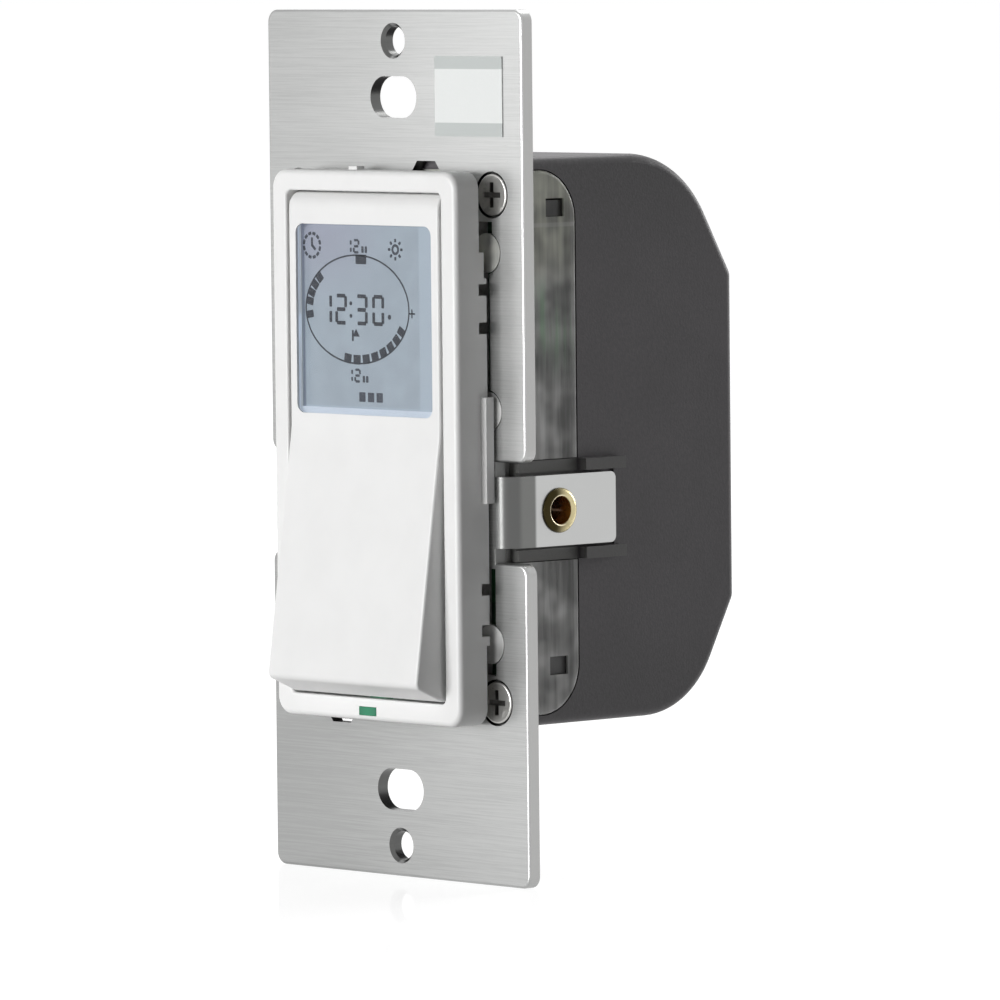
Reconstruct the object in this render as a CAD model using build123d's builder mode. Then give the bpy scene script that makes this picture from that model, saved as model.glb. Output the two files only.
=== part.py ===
from build123d import *
import math
import os

# A wall switch with a built-in timer, a display and one large push pad, for a one-gang box.
# The origin is the middle of the strap's back face, between the two box screws.
# X runs to the right as seen from the room, Y runs into the wall and Z runs up.
# Lengths are in millimetres. A "depth" is a place along Y.

# Clearances shared by all pieces
overrun = 1.0
seat_gap = 0.1
side_gap = 0.2
moving_gap = 0.3
pin_clearance = 0.05

# Strap: the sheet that is screwed to the box
strap_width = 45.5
strap_height = 104.3
strap_thickness = 1.6
strap_corner_radius = 1.5
strap_edge_radius = 0.35
plate_screw_spacing = 96.84
plate_screw_diameter = 3.5
plate_screw_rim_diameter = 4.3
rim_angle = 90
box_screw_spacing = 83.34
box_slot_length = 8.2
box_slot_height = 5.0
opening_width = 28.0
opening_height = 65.2
screw_bridge = 0.4
narrow_opening_inset = 0.55
bridge_width = 2.05
bridge_margin = 0.7
lug_slot_base = 5.4
lug_slot_top = 3.2
lug_slot_depth = 1.5
upper_lug_slot_x = 5.7
lower_lug_slot_x = -10.5

# Side tabs: bent back from the strap along both sides of the housing
tab_width = 8.5
tab_middle_height = -7.55
tab_stand_off = 1.2
tab_reach = 15.8
tab_bend_radius = 0.8
tab_corner_radius = 0.8
tab_root = 1.0
notch_margin = 1.75
eyelet_depth = 6.5
eyelet_flange_diameter = 5.4
eyelet_barrel_diameter = 4.0
eyelet_bore_diameter = 3.3
eyelet_flange_thickness = 0.5
eyelet_rolled_diameter = 5.0

# Housing screws, through the strap's four inner corners
housing_screw_inset = 1.5
housing_screw_z = 30.2
housing_screw_head_diameter = 5.1
housing_screw_head_thickness = 1.0
housing_screw_head_edge_radius = 0.25
housing_screw_diameter = 2.2
housing_screw_length = 15.0
cross_recess_length = 3.0
cross_recess_width = 0.65
cross_recess_depth = 0.7
ring_gap = 0.25

# Rating label, left blank
label_width = 11.8
label_height = 9.5
label_side_inset = 3.45
label_bezel_gap = 4.1
label_thickness = 0.12

# Bezel: the white frame around the pad
bezel_width = 33.0
bezel_height = 66.0
bezel_projection = 5.2
bezel_lip_thickness = 1.6
bezel_wall = 1.5
bezel_corner_radius = 2.2
bezel_edge_radius = 0.7
bezel_side_border = 2.7
bezel_end_border = 2.6
bezel_opening_rise = 0.1
bezel_opening_radius = 0.8
bezel_opening_edge_radius = 0.3
bezel_rim_gap = 0.35
bezel_corner_rim_gap = 1.5
bezel_lower_rim_gap = 0.85
bezel_corner_rim_height = 23.4
bezel_post_rim_gap = 0.75
bezel_post_rim_height = 20.3
latch_length = 12.6
latch_middle_height = -0.1
latch_proud = 1.0
latch_front_gap = 1.5
latch_back_gap = 0.3
catch_notch_heights = (18.95, 14.4, -16.7, -21.6)
catch_notch_width = 1.4
catch_notch_depth = 1.25
nib_width = 1.5
nib_height = 0.4
nib_depth = 1.2
upper_nib_x = -4.4
lower_nib_x = -7.4

# Push pad: one moulding that frames the display and flares out towards its lower edge
pad_side_gap = 0.4
pad_plate_thickness = 1.0
pad_wall = 1.2
pad_flare_drop = 1.9
pad_flare_projection = 4.25
pad_nose_height = 1.9
pad_nose_radius = 0.9
pad_flare_blend_radius = 14.0
pad_edge_radius = 0.35
pad_back_gap = 0.9
window_side_border = 1.3
window_top_border = 3.8
window_height = 22.8
window_corner_radius = 1.2
lens_lip = 0.2
lens_thickness = 0.5
lens_border = 0.45
lens_fit = 0.05
lens_corner_radius = 0.3
pad_rib_thickness = 1.0
pad_rib_height = 3.0
pad_rib_x = 7.5

# Pad hinge: one pin near the pad's top edge
axis_setback = 1.8
axis_drop = 1.8
pin_diameter = 1.2
ear_radius = 1.1
ear_width = 1.5
ear_x = 4.6
pad_knuckle_slot_gap = 0.2

# Lever: the yoke between the pad and its switch
lever_arm_thickness = 0.8
lever_arm_depth = 1.2
lever_bar_height = 5.0
lever_bar_drop = 3.5
hook_x = 9.0
hook_width = 0.8
hook_height = 1.2
hook_barb = 0.8
hook_barb_depth = 0.7
press_rise = 5.5

# Display carrier: the tray behind the bezel
carrier_wall = 1.2
carrier_floor_thickness = 1.3
carrier_neck_gap = 0.3
carrier_neck_wall = 0.8

# Display
lcd_side_margin = 0.3
lcd_end_margin = 0.3
lcd_thickness = 2.65
connector_length = 22.0
connector_width = 1.6
connector_inset = 1.4

# Boards
board_thickness = 1.6
display_board_depth = 1.0
power_board_room = 22.7
power_board_side_gap = 0.55
power_board_height = 54.0
link_board_top = 20.0
link_board_bottom = 8.0
link_board_thickness = 1.2

# Programming buttons and their switches
button_count = 4
button_switch_gap = 0.6
button_height_middle = -9.0
button_width = 4.2
button_height = 5.6
button_corner_radius = 1.2
button_proud = 1.6
button_flange = 0.5
button_flange_thickness = 0.3
button_stem_diameter = 2.0
button_stem_entry = 0.4
switch_size = 5.0
switch_thickness = 1.8
switch_bore_depth = 1.4
plunger_diameter = 2.4

# Parts on the display board
led_width = 2.6
led_height = 1.8
led_thickness = 1.2
light_guide_width = 3.0
light_guide_height = 1.0
light_guide_rise = 1.15
light_guide_proud = 0.05
light_guide_step = 1.0
chip_size = 9.0
chip_thickness = 1.4
chip_height = 12.0
cell_diameter = 12.0
cell_thickness = 2.6
cell_height = -12.0

# Middle housing: the smoke-coloured sleeve behind the strap
middle_width = 37.4
middle_top_margin = 2.85
middle_bottom_margin = 1.85
middle_depth = 10.7
middle_corner_radius = 6.0
middle_edge_radius = 0.5
middle_side_wall = 1.1
middle_end_wall = 0.85
column_width = 4.3
column_height = 4.2
post_diameter = 4.7
post_z = 23.3
post_inset = 0.25
post_set_back = 0.1
post_length = 11.5
latch_post_z = 4.5
latch_post_length = 2.2
catch_pocket_size = 2.2
catch_pocket_length = 2.9
catch_pocket_depth = 0.5
catch_pocket_middle_depth = 7.2
catch_pocket_heights = (28.5, -26.2)
board_ledge_width = 20.0
board_ledge_height = 1.6
board_ledge_thickness = 1.4
joint_gap = 0.05

# Rear housing: the dark box that goes into the wall box
rear_side_inset = 0.15
rear_top_proud = 1.55
rear_bottom_proud = 1.25
rear_depth = 36.9
rear_wall = 1.5
rear_upper_slope_depth = 8.5
rear_upper_slope_height = 14.8
rear_upper_radius = 14.7
rear_lower_slope_depth = 7.3
rear_lower_slope_height = 13.7
rear_lower_radius = 12.2
rear_shoulder_edge_radius = 1.5
rear_edge_radius = 1.1
boss_margin = 1.1
saddle_start = 1.0
saddle_rib_thickness = 1.4
saddle_rib_projection = 1.5
saddle_margin = 1.5
power_ledge_width = 1.6
power_ledge_thickness = 1.4
power_ledge_height = 40.0

# Wire terminals in the back wall
terminal_relay_gap = 0.8
terminal_hole_spacing = 6.5
terminal_wire_diameter = 3.2
terminal_screw_access_diameter = 6.4
terminal_block_width = 7.6
terminal_block_height = 13.5
terminal_block_middle_z = 9.75
terminal_block_thickness = 6.0
terminal_block_setback = 3.5
terminal_post_size = 2.4
terminal_screw_head_diameter = 5.8
terminal_screw_head_thickness = 1.6
terminal_screw_diameter = 3.2
terminal_screw_length = 5.0
terminal_slot_width = 0.9
terminal_slot_depth = 0.8

# Parts on the power board
relay_width = 13.8
relay_height = 20.0
relay_depth = 15.4
relay_edge_radius = 0.8
capacitor_diameter = 8.0
capacitor_length = 12.0
capacitor_x = 5.0
capacitor_board_inset = 6.5
film_capacitor_width = 13.0
film_capacitor_height = 6.0
film_capacitor_depth = 11.0
film_capacitor_board_inset = 8.5
choke_diameter = 7.6
choke_length = 8.0
choke_x = -12.0
choke_board_inset = 5.0
varistor_diameter = 8.0
varistor_thickness = 3.4
varistor_lead_length = 1.2
varistor_x = 11.5
varistor_board_inset = 5.0

# Housings, from the front to the back
strap_front = -strap_thickness
middle_half = middle_width / 2
middle_top = housing_screw_z + middle_top_margin
middle_bottom = -housing_screw_z - middle_bottom_margin
rear_half = middle_half - rear_side_inset
rear_top = middle_top + rear_top_proud
rear_bottom = middle_bottom - rear_bottom_proud
housing_screw_x = middle_half - housing_screw_inset
post_x = middle_half - post_diameter / 2 - post_inset
post_heights = (post_z, -post_z, latch_post_z)
boss_depth = strap_front + housing_screw_head_thickness + housing_screw_length + boss_margin
display_board_back = display_board_depth + board_thickness
power_board_back = rear_depth - power_board_room
power_board_depth = power_board_back - board_thickness
power_board_width = 2 * (rear_half - rear_wall - power_board_side_gap)
power_board_end = power_board_height / 2
capacitor_z = power_board_end - capacitor_board_inset
film_capacitor_z = film_capacitor_board_inset - power_board_end
choke_z = choke_board_inset - power_board_end
varistor_z = varistor_board_inset - power_board_end

# Tabs, their notches and their seats on the rear housing
tab_outer_half_span = rear_half + tab_stand_off
tab_inner = tab_outer_half_span - strap_thickness
bend_x = tab_inner - tab_bend_radius
tab_bottom = tab_middle_height - tab_width / 2
notch_height = tab_width + 2 * notch_margin
notch_top = tab_middle_height + notch_height / 2
notch_bottom = tab_middle_height - notch_height / 2
saddle_floor = tab_inner - seat_gap
saddle_top = notch_top
saddle_bottom = notch_bottom
saddle_end = tab_reach + saddle_margin

# The strap's openings and its label
screw_ring_radius = housing_screw_head_diameter / 2 + ring_gap
side_opening_width = 2 * housing_screw_x
narrow_opening_width = side_opening_width - 2 * narrow_opening_inset
side_opening_height = 2 * (housing_screw_z - screw_ring_radius - screw_bridge)
bridge_opening_width = 2 * (bend_x - bridge_width)
label_middle_x = strap_width / 2 - label_side_inset - label_width / 2
label_middle_z = bezel_height / 2 + label_bezel_gap + label_height / 2

# Bezel and the opening in it
bezel_front = strap_front - bezel_projection
lip_back = bezel_front + bezel_lip_thickness
bezel_back = strap_front - bezel_rim_gap
bezel_opening_width = bezel_width - 2 * bezel_side_border
bezel_opening_height = bezel_height - 2 * bezel_end_border
bezel_opening_top = bezel_opening_rise + bezel_opening_height / 2
bezel_opening_bottom = bezel_opening_rise - bezel_opening_height / 2
light_guide_front_height = light_guide_rise - bezel_height / 2

# Push pad, its window and its hinge
pad_half_width = bezel_opening_width / 2 - pad_side_gap
pad_top = bezel_opening_top - side_gap
pad_bottom = bezel_opening_bottom + moving_gap
pad_plate_back = bezel_front + pad_plate_thickness
pad_back = bezel_front + pad_back_gap
pad_nose = bezel_front - pad_flare_projection
pad_nose_top = pad_bottom + pad_nose_height
window_width = 2 * (pad_half_width - window_side_border)
window_top = pad_top - window_top_border
window_bottom = window_top - window_height
pad_flare_start = window_bottom - pad_flare_drop
axis_y = bezel_front + axis_setback
axis_z = pad_top - axis_drop
pin_radius = pin_diameter / 2

# Lever
press_height = pad_bottom + press_rise
lever_outer = pad_half_width
lever_inner = lever_outer - lever_arm_thickness
lever_front = pad_back + moving_gap
lever_back = lever_front + lever_arm_depth
lever_bar_bottom = press_height - lever_bar_drop

# Display carrier, and the display and board that it holds
carrier_front = lip_back + seat_gap
carrier_back = strap_front - seat_gap
carrier_floor = carrier_back - carrier_floor_thickness
carrier_width = bezel_width - 2 * (bezel_wall + side_gap)
carrier_height = bezel_height - 2 * (bezel_wall + side_gap)
carrier_inner_width = carrier_width - 2 * carrier_wall
carrier_inner_top = bezel_opening_top + seat_gap
carrier_inner_bottom = bezel_opening_bottom - seat_gap
carrier_neck_width = opening_width - 2 * carrier_neck_gap
carrier_neck_height = carrier_height - 2 * carrier_neck_gap
neck_back = display_board_depth
lcd_front = carrier_floor - lcd_thickness
lcd_width = window_width + 2 * lcd_side_margin
lcd_top = window_top + lcd_end_margin
lcd_bottom = window_bottom - lcd_end_margin
display_board_width = carrier_neck_width - carrier_neck_wall
display_board_height = carrier_neck_height
switch_front = display_board_depth - switch_thickness
button_front = carrier_floor - button_proud
button_pitch = switch_size + button_switch_gap

# Terminals
terminal_x = relay_width / 2 + terminal_relay_gap + terminal_block_width / 2
terminal_wire_z = terminal_block_middle_z + terminal_hole_spacing / 2
terminal_screw_z = terminal_block_middle_z - terminal_hole_spacing / 2
terminal_block_back = rear_depth - terminal_block_setback

# Shares and directions
diagonal_share = 1 / math.sqrt(2)
both_sides = (-1, 1)


def at_depth(depth):
    """The plane that faces the room at a depth."""
    return Plane.XZ.offset(-depth)


def block(x_ends, y_ends, z_ends, mode=Mode.ADD):
    """A box between two ends on each axis."""
    ends = (x_ends, y_ends, z_ends)
    middle = tuple((low + high) / 2 for low, high in ends)
    sizes = tuple(abs(high - low) for low, high in ends)
    with Locations(middle):
        Box(*sizes, mode=mode)


def rod(x, z, y_ends, radius, mode=Mode.ADD):
    """A round bar along Y."""
    with Locations(Location((x, sum(y_ends) / 2, z), (90, 0, 0))):
        Cylinder(radius, abs(y_ends[1] - y_ends[0]), mode=mode)


def axle(y, z, x_ends, radius, mode=Mode.ADD):
    """A round bar along X."""
    with Locations(Location((sum(x_ends) / 2, y, z), (0, 90, 0))):
        Cylinder(radius, abs(x_ends[1] - x_ends[0]), mode=mode)


def rounded_block(width, height, radius, y_ends, x=0, z=0, mode=Mode.ADD):
    """A block along Y whose front view is a rectangle with round corners."""
    with BuildSketch(at_depth(max(y_ends))) as outline:
        with Locations((x, z)):
            RectangleRounded(width, height, radius)
    extrude(outline.sketch, amount=abs(y_ends[1] - y_ends[0]), mode=mode)


def save(piece, name):
    """Label a finished piece and write it."""
    piece.part.label = name
    export_step(piece.part, f"parts/{name}.step")


os.makedirs("parts", exist_ok=True)

# Strap with its two side tabs
with BuildPart() as mounting_strap:
    with BuildSketch(at_depth(0)) as strap_outline:
        Rectangle(strap_width, strap_height)
        for side in both_sides:
            notch_width = strap_width / 2 - bend_x
            with Locations((side * (bend_x + notch_width / 2), tab_middle_height)):
                Rectangle(notch_width, notch_height, mode=Mode.SUBTRACT)
        left_corners = strap_outline.vertices().group_by(Axis.X)[0]
        right_corners = strap_outline.vertices().group_by(Axis.X)[-1]
        corner_radius = min(strap_corner_radius, notch_width - strap_edge_radius)
        fillet(left_corners + right_corners, corner_radius)
    extrude(amount=strap_thickness)
    front_face = mounting_strap.faces().sort_by(Axis.Y)[0]
    fillet(front_face.edges(), strap_edge_radius)
    with BuildSketch(at_depth(0)):
        Rectangle(opening_width, opening_height)
        Rectangle(bridge_opening_width, side_opening_height)
        side_spans = (
            (side_opening_width, post_z, side_opening_height / 2),
            (narrow_opening_width, latch_post_z, post_z),
            (side_opening_width, notch_top + bridge_margin, latch_post_z),
            (side_opening_width, -side_opening_height / 2, notch_bottom - bridge_margin),
        )
        for span_width, span_bottom, span_top in side_spans:
            with Locations((0, (span_bottom + span_top) / 2)):
                Rectangle(span_width, span_top - span_bottom)
        with Locations(*((side * post_x, z) for side in both_sides for z in post_heights)):
            Circle(post_diameter / 2 + side_gap)
        for slot_x, end in ((upper_lug_slot_x, 1), (lower_lug_slot_x, -1)):
            edge = end * opening_height / 2
            tip = edge + end * lug_slot_depth
            root = edge - end * overrun
            with BuildLine():
                Polyline(
                    (slot_x - lug_slot_base / 2, root),
                    (slot_x - lug_slot_base / 2, edge),
                    (slot_x - lug_slot_top / 2, tip),
                    (slot_x + lug_slot_top / 2, tip),
                    (slot_x + lug_slot_base / 2, edge),
                    (slot_x + lug_slot_base / 2, root),
                    close=True,
                )
            make_face()
    extrude(amount=strap_thickness, mode=Mode.SUBTRACT)
    with BuildSketch(at_depth(0)):
        with GridLocations(0, box_screw_spacing, 1, 2):
            SlotOverall(box_slot_length, box_slot_height)
    extrude(amount=strap_thickness, mode=Mode.SUBTRACT)
    for end in both_sides:
        with Locations(Location((0, strap_front, end * plate_screw_spacing / 2), (90, 0, 0))):
            CounterSinkHole(
                plate_screw_diameter / 2,
                plate_screw_rim_diameter / 2,
                depth=strap_thickness,
                counter_sink_angle=rim_angle,
            )
    for side in both_sides:
        outer_bend = tab_bend_radius + strap_thickness
        with BuildSketch(Plane.XY.offset(tab_bottom)):
            with BuildLine():
                root_x = side * (bend_x - tab_root)
                Line((root_x, 0), (root_x, strap_front))
                Line((root_x, strap_front), (side * bend_x, strap_front))
                ThreePointArc(
                    (side * bend_x, strap_front),
                    (
                        side * (bend_x + outer_bend * diagonal_share),
                        tab_bend_radius - outer_bend * diagonal_share,
                    ),
                    (side * tab_outer_half_span, tab_bend_radius),
                )
                Polyline(
                    (side * tab_outer_half_span, tab_bend_radius),
                    (side * tab_outer_half_span, tab_reach),
                    (side * tab_inner, tab_reach),
                    (side * tab_inner, tab_bend_radius),
                )
                ThreePointArc(
                    (side * tab_inner, tab_bend_radius),
                    (
                        side * (bend_x + tab_bend_radius * diagonal_share),
                        tab_bend_radius * (1 - diagonal_share),
                    ),
                    (side * bend_x, 0),
                )
                Line((side * bend_x, 0), (root_x, 0))
            make_face()
        extrude(amount=tab_width)
    tab_tips = mounting_strap.edges().filter_by(Axis.X).group_by(Axis.Y)[-1]
    fillet(tab_tips, tab_corner_radius)
    axle(
        eyelet_depth,
        tab_middle_height,
        (-tab_outer_half_span - overrun, tab_outer_half_span + overrun),
        eyelet_barrel_diameter / 2,
        Mode.SUBTRACT,
    )
    for side in both_sides:
        for end in both_sides:
            x, z = side * housing_screw_x, end * housing_screw_z
            rod(x, z, (strap_front - overrun, overrun), housing_screw_diameter / 2 + side_gap, Mode.SUBTRACT)
            rod(
                x,
                z,
                (strap_front - overrun, strap_front + housing_screw_head_thickness),
                screw_ring_radius,
                Mode.SUBTRACT,
            )
save(mounting_strap, "mounting_strap")

# The four housing screws, with crossed recesses
with BuildPart() as strap_screws:
    seat_depth = strap_front + housing_screw_head_thickness
    head_front = strap_front
    for side in both_sides:
        for end in both_sides:
            x, z = side * housing_screw_x, end * housing_screw_z
            rod(x, z, (head_front, seat_depth), housing_screw_head_diameter / 2)
            rod(x, z, (seat_depth, seat_depth + housing_screw_length), housing_screw_diameter / 2)
    rims = strap_screws.edges().filter_by(GeomType.CIRCLE).group_by(Axis.Y)[0]
    fillet(rims, housing_screw_head_edge_radius)
    for side in both_sides:
        for end in both_sides:
            x, z = side * housing_screw_x, end * housing_screw_z
            long_ends, short_ends = cross_recess_length / 2, cross_recess_width / 2
            recess = (head_front - overrun, head_front + cross_recess_depth)
            block((x - long_ends, x + long_ends), recess, (z - short_ends, z + short_ends), Mode.SUBTRACT)
            block((x - short_ends, x + short_ends), recess, (z - long_ends, z + long_ends), Mode.SUBTRACT)
save(strap_screws, "strap_screws")

# Hollow rivets that hold the side tabs to the rear housing
with BuildPart() as side_eyelets:
    rolled_end = rear_half - rear_wall
    for side in both_sides:
        flange_ends = (side * tab_outer_half_span, side * (tab_outer_half_span + eyelet_flange_thickness))
        rolled_ends = (side * rolled_end, side * (rolled_end - eyelet_flange_thickness))
        barrel_ends = (side * rolled_end, side * tab_outer_half_span)
        axle(eyelet_depth, tab_middle_height, flange_ends, eyelet_flange_diameter / 2)
        axle(eyelet_depth, tab_middle_height, rolled_ends, eyelet_rolled_diameter / 2)
        axle(eyelet_depth, tab_middle_height, barrel_ends, eyelet_barrel_diameter / 2 - joint_gap)
    flange_rims = side_eyelets.edges().filter_by(GeomType.CIRCLE)
    outer_rims = flange_rims.group_by(Axis.X)[0] + flange_rims.group_by(Axis.X)[-1]
    fillet(outer_rims, eyelet_flange_thickness / 2)
    reach = tab_outer_half_span + eyelet_flange_thickness + overrun
    axle(eyelet_depth, tab_middle_height, (-reach, reach), eyelet_bore_diameter / 2, Mode.SUBTRACT)
save(side_eyelets, "side_eyelets")

# Blank rating label
with BuildPart() as rating_label:
    with BuildSketch(at_depth(strap_front)):
        with Locations((label_middle_x, label_middle_z)):
            Rectangle(label_width, label_height)
    extrude(amount=label_thickness)
save(rating_label, "rating_label")


def rear_profile():
    """The side view of the rear housing, from the strap back to its round shoulders."""
    upper_shoulder = (rear_depth - rear_upper_slope_depth, rear_top)
    lower_shoulder = (rear_depth - rear_lower_slope_depth, rear_bottom)
    with BuildSketch(Plane.YZ) as outline:
        with BuildLine() as edge:
            Polyline(
                (0, rear_bottom),
                lower_shoulder,
                (rear_depth, rear_bottom + rear_lower_slope_height),
                (rear_depth, rear_top - rear_upper_slope_height),
                upper_shoulder,
                (0, rear_top),
                close=True,
            )
        make_face(edge.edges())
        fillet(outline.vertices().group_by(Axis.X)[-1], rear_shoulder_edge_radius)
        lower = outline.vertices().sort_by_distance(lower_shoulder)[0]
        fillet(lower, rear_lower_radius)
        upper = outline.vertices().sort_by_distance(upper_shoulder)[0]
        fillet(upper, rear_upper_radius)
    return outline.sketch


def rear_cavity_profile():
    """The same side view, one wall further in."""
    with BuildSketch(Plane.YZ) as outline:
        add(Plane.YZ.to_local_coords(rear_profile()))
        offset(amount=-rear_wall, mode=Mode.REPLACE)
    return outline.sketch


def middle_profile(growth=0):
    """The side view of the middle housing, grown by a gap."""
    with BuildSketch(Plane.YZ) as outline:
        back = middle_depth + growth
        with BuildLine() as edge:
            Polyline(
                (0, middle_bottom - growth),
                (back, middle_bottom - growth),
                (back, middle_top + growth),
                (0, middle_top + growth),
                close=True,
            )
        make_face(edge.edges())
        fillet(outline.vertices().group_by(Axis.X)[-1], middle_corner_radius + growth)
    return outline.sketch


def side_rims(piece):
    """The edges of a housing's two side faces, without those against the strap."""
    side_faces = piece.faces().sort_by(Axis.X)
    edges = side_faces[0].edges() + side_faces[-1].edges()
    return edges.filter_by(lambda edge: edge.center().Y > overrun)


# Rear housing
with BuildPart() as rear_housing:
    extrude(rear_profile(), amount=rear_half, both=True)
    fillet(side_rims(rear_housing), rear_edge_radius)
    extrude(rear_cavity_profile(), amount=rear_half - rear_wall, both=True, mode=Mode.SUBTRACT)
    inner_half = rear_half - rear_wall
    inner_bottom, inner_top = rear_bottom + rear_wall, rear_top - rear_wall
    open_front = (-overrun, rear_wall + overrun)
    block((-inner_half, inner_half), open_front, (inner_bottom, inner_top), Mode.SUBTRACT)
    for side in both_sides:
        for end_top, end in ((rear_top, 1), (rear_bottom, -1)):
            block(
                (side * (middle_half - column_width), side * (rear_half - rear_wall / 2)),
                (0, boss_depth),
                (end * (housing_screw_z - column_height / 2), end_top - end * rear_wall / 2),
            )
    extrude(middle_profile(joint_gap), amount=middle_half + overrun, both=True, mode=Mode.SUBTRACT)
    for side in both_sides:
        rib_outer = rear_half + saddle_rib_projection
        saddle = (saddle_start, saddle_end)
        block((side * inner_half, side * rear_half), saddle, (saddle_bottom, saddle_top))
        for rib_edge, inward in ((saddle_top, -1), (saddle_bottom, 1)):
            rib = (rib_edge, rib_edge + inward * saddle_rib_thickness)
            block((side * inner_half, side * rib_outer), (middle_depth, saddle_end), rib)
        seat = (saddle_bottom + saddle_rib_thickness, saddle_top - saddle_rib_thickness)
        seat_back = saddle_end - saddle_rib_thickness / 2
        block((side * saddle_floor, side * rib_outer), (0, seat_back), seat, Mode.SUBTRACT)
        ledge = (side * (inner_half - power_ledge_width), side * (inner_half + rear_wall / 2))
        ledge_depth = (power_board_back, power_board_back + power_ledge_thickness)
        block(ledge, ledge_depth, (-power_ledge_height / 2, power_ledge_height / 2))
        for end in both_sides:
            x, z = side * housing_screw_x, end * housing_screw_z
            rod(x, z, (0, boss_depth), housing_screw_diameter / 2 + joint_gap, Mode.SUBTRACT)
            wire_z, screw_z = end * terminal_wire_z, end * terminal_screw_z
            wall = (rear_depth - rear_wall - overrun, rear_depth + overrun)
            rod(side * terminal_x, wire_z, wall, terminal_wire_diameter / 2, Mode.SUBTRACT)
            rod(side * terminal_x, screw_z, wall, terminal_screw_access_diameter / 2, Mode.SUBTRACT)
    reach = rear_half + saddle_rib_projection + overrun
    axle(eyelet_depth, tab_middle_height, (-reach, reach), eyelet_barrel_diameter / 2, Mode.SUBTRACT)
save(rear_housing, "rear_housing")

# Middle housing
with BuildPart() as middle_housing:
    extrude(middle_profile(), amount=middle_half, both=True)
    fillet(side_rims(middle_housing), middle_edge_radius)
    through = (-overrun, middle_depth + overrun)
    inner = middle_half - middle_side_wall
    column_inner = middle_half - column_width
    column_low = housing_screw_z - column_height / 2
    inner_ends = (middle_bottom + middle_end_wall, middle_top - middle_end_wall)
    block((-column_inner, column_inner), through, inner_ends, Mode.SUBTRACT)
    block((-inner, inner), through, (-column_low, column_low), Mode.SUBTRACT)
    post_ends = (strap_front + post_set_back, strap_front + post_set_back + post_length)
    latch_post_ends = (post_ends[0], post_ends[0] + latch_post_length)
    for side in both_sides:
        rod(side * post_x, latch_post_z, latch_post_ends, post_diameter / 2)
        for end in both_sides:
            rod(side * post_x, end * post_z, post_ends, post_diameter / 2)
            x, z = side * housing_screw_x, end * housing_screw_z
            rod(x, z, through, housing_screw_diameter / 2 + side_gap, Mode.SUBTRACT)
        notch = (saddle_bottom - seat_gap, saddle_top + seat_gap)
        notch_face = rear_half - rear_wall - seat_gap
        block((side * notch_face, side * (middle_half + overrun)), through, notch, Mode.SUBTRACT)
        bridge = (notch[0] - middle_side_wall, notch[1] + middle_side_wall)
        bridge_sides = (side * notch_face, side * (notch_face - middle_side_wall))
        block(bridge_sides, (0, middle_depth), bridge)
        for edge, outward in ((bridge[0], 1), (bridge[1], -1)):
            web = (edge, edge + outward * middle_side_wall)
            block((side * notch_face, side * (inner + joint_gap)), (0, middle_depth), web)
        pocket = (side * (middle_half - catch_pocket_depth), side * (middle_half + overrun))
        pocket_middle, pocket_reach = catch_pocket_middle_depth, catch_pocket_length / 2
        pocket_depth = (pocket_middle - pocket_reach, pocket_middle + pocket_reach)
        for height in catch_pocket_heights:
            pocket_rise = (height - catch_pocket_size / 2, height + catch_pocket_size / 2)
            block(pocket, pocket_depth, pocket_rise, Mode.SUBTRACT)
    eyelet_room = eyelet_rolled_diameter / 2 + side_gap
    axle(eyelet_depth, tab_middle_height, (-inner, inner), eyelet_room, Mode.SUBTRACT)
    ledge_half = board_ledge_width / 2
    ledge_depth = (display_board_back, display_board_back + board_ledge_thickness)
    for wall_face, end in ((inner_ends[1], 1), (inner_ends[0], -1)):
        board_edge = end * display_board_height / 2
        ledge_rise = (board_edge - end * board_ledge_height, wall_face + end * middle_end_wall / 2)
        block((-ledge_half, ledge_half), ledge_depth, ledge_rise)
save(middle_housing, "middle_housing")

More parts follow.
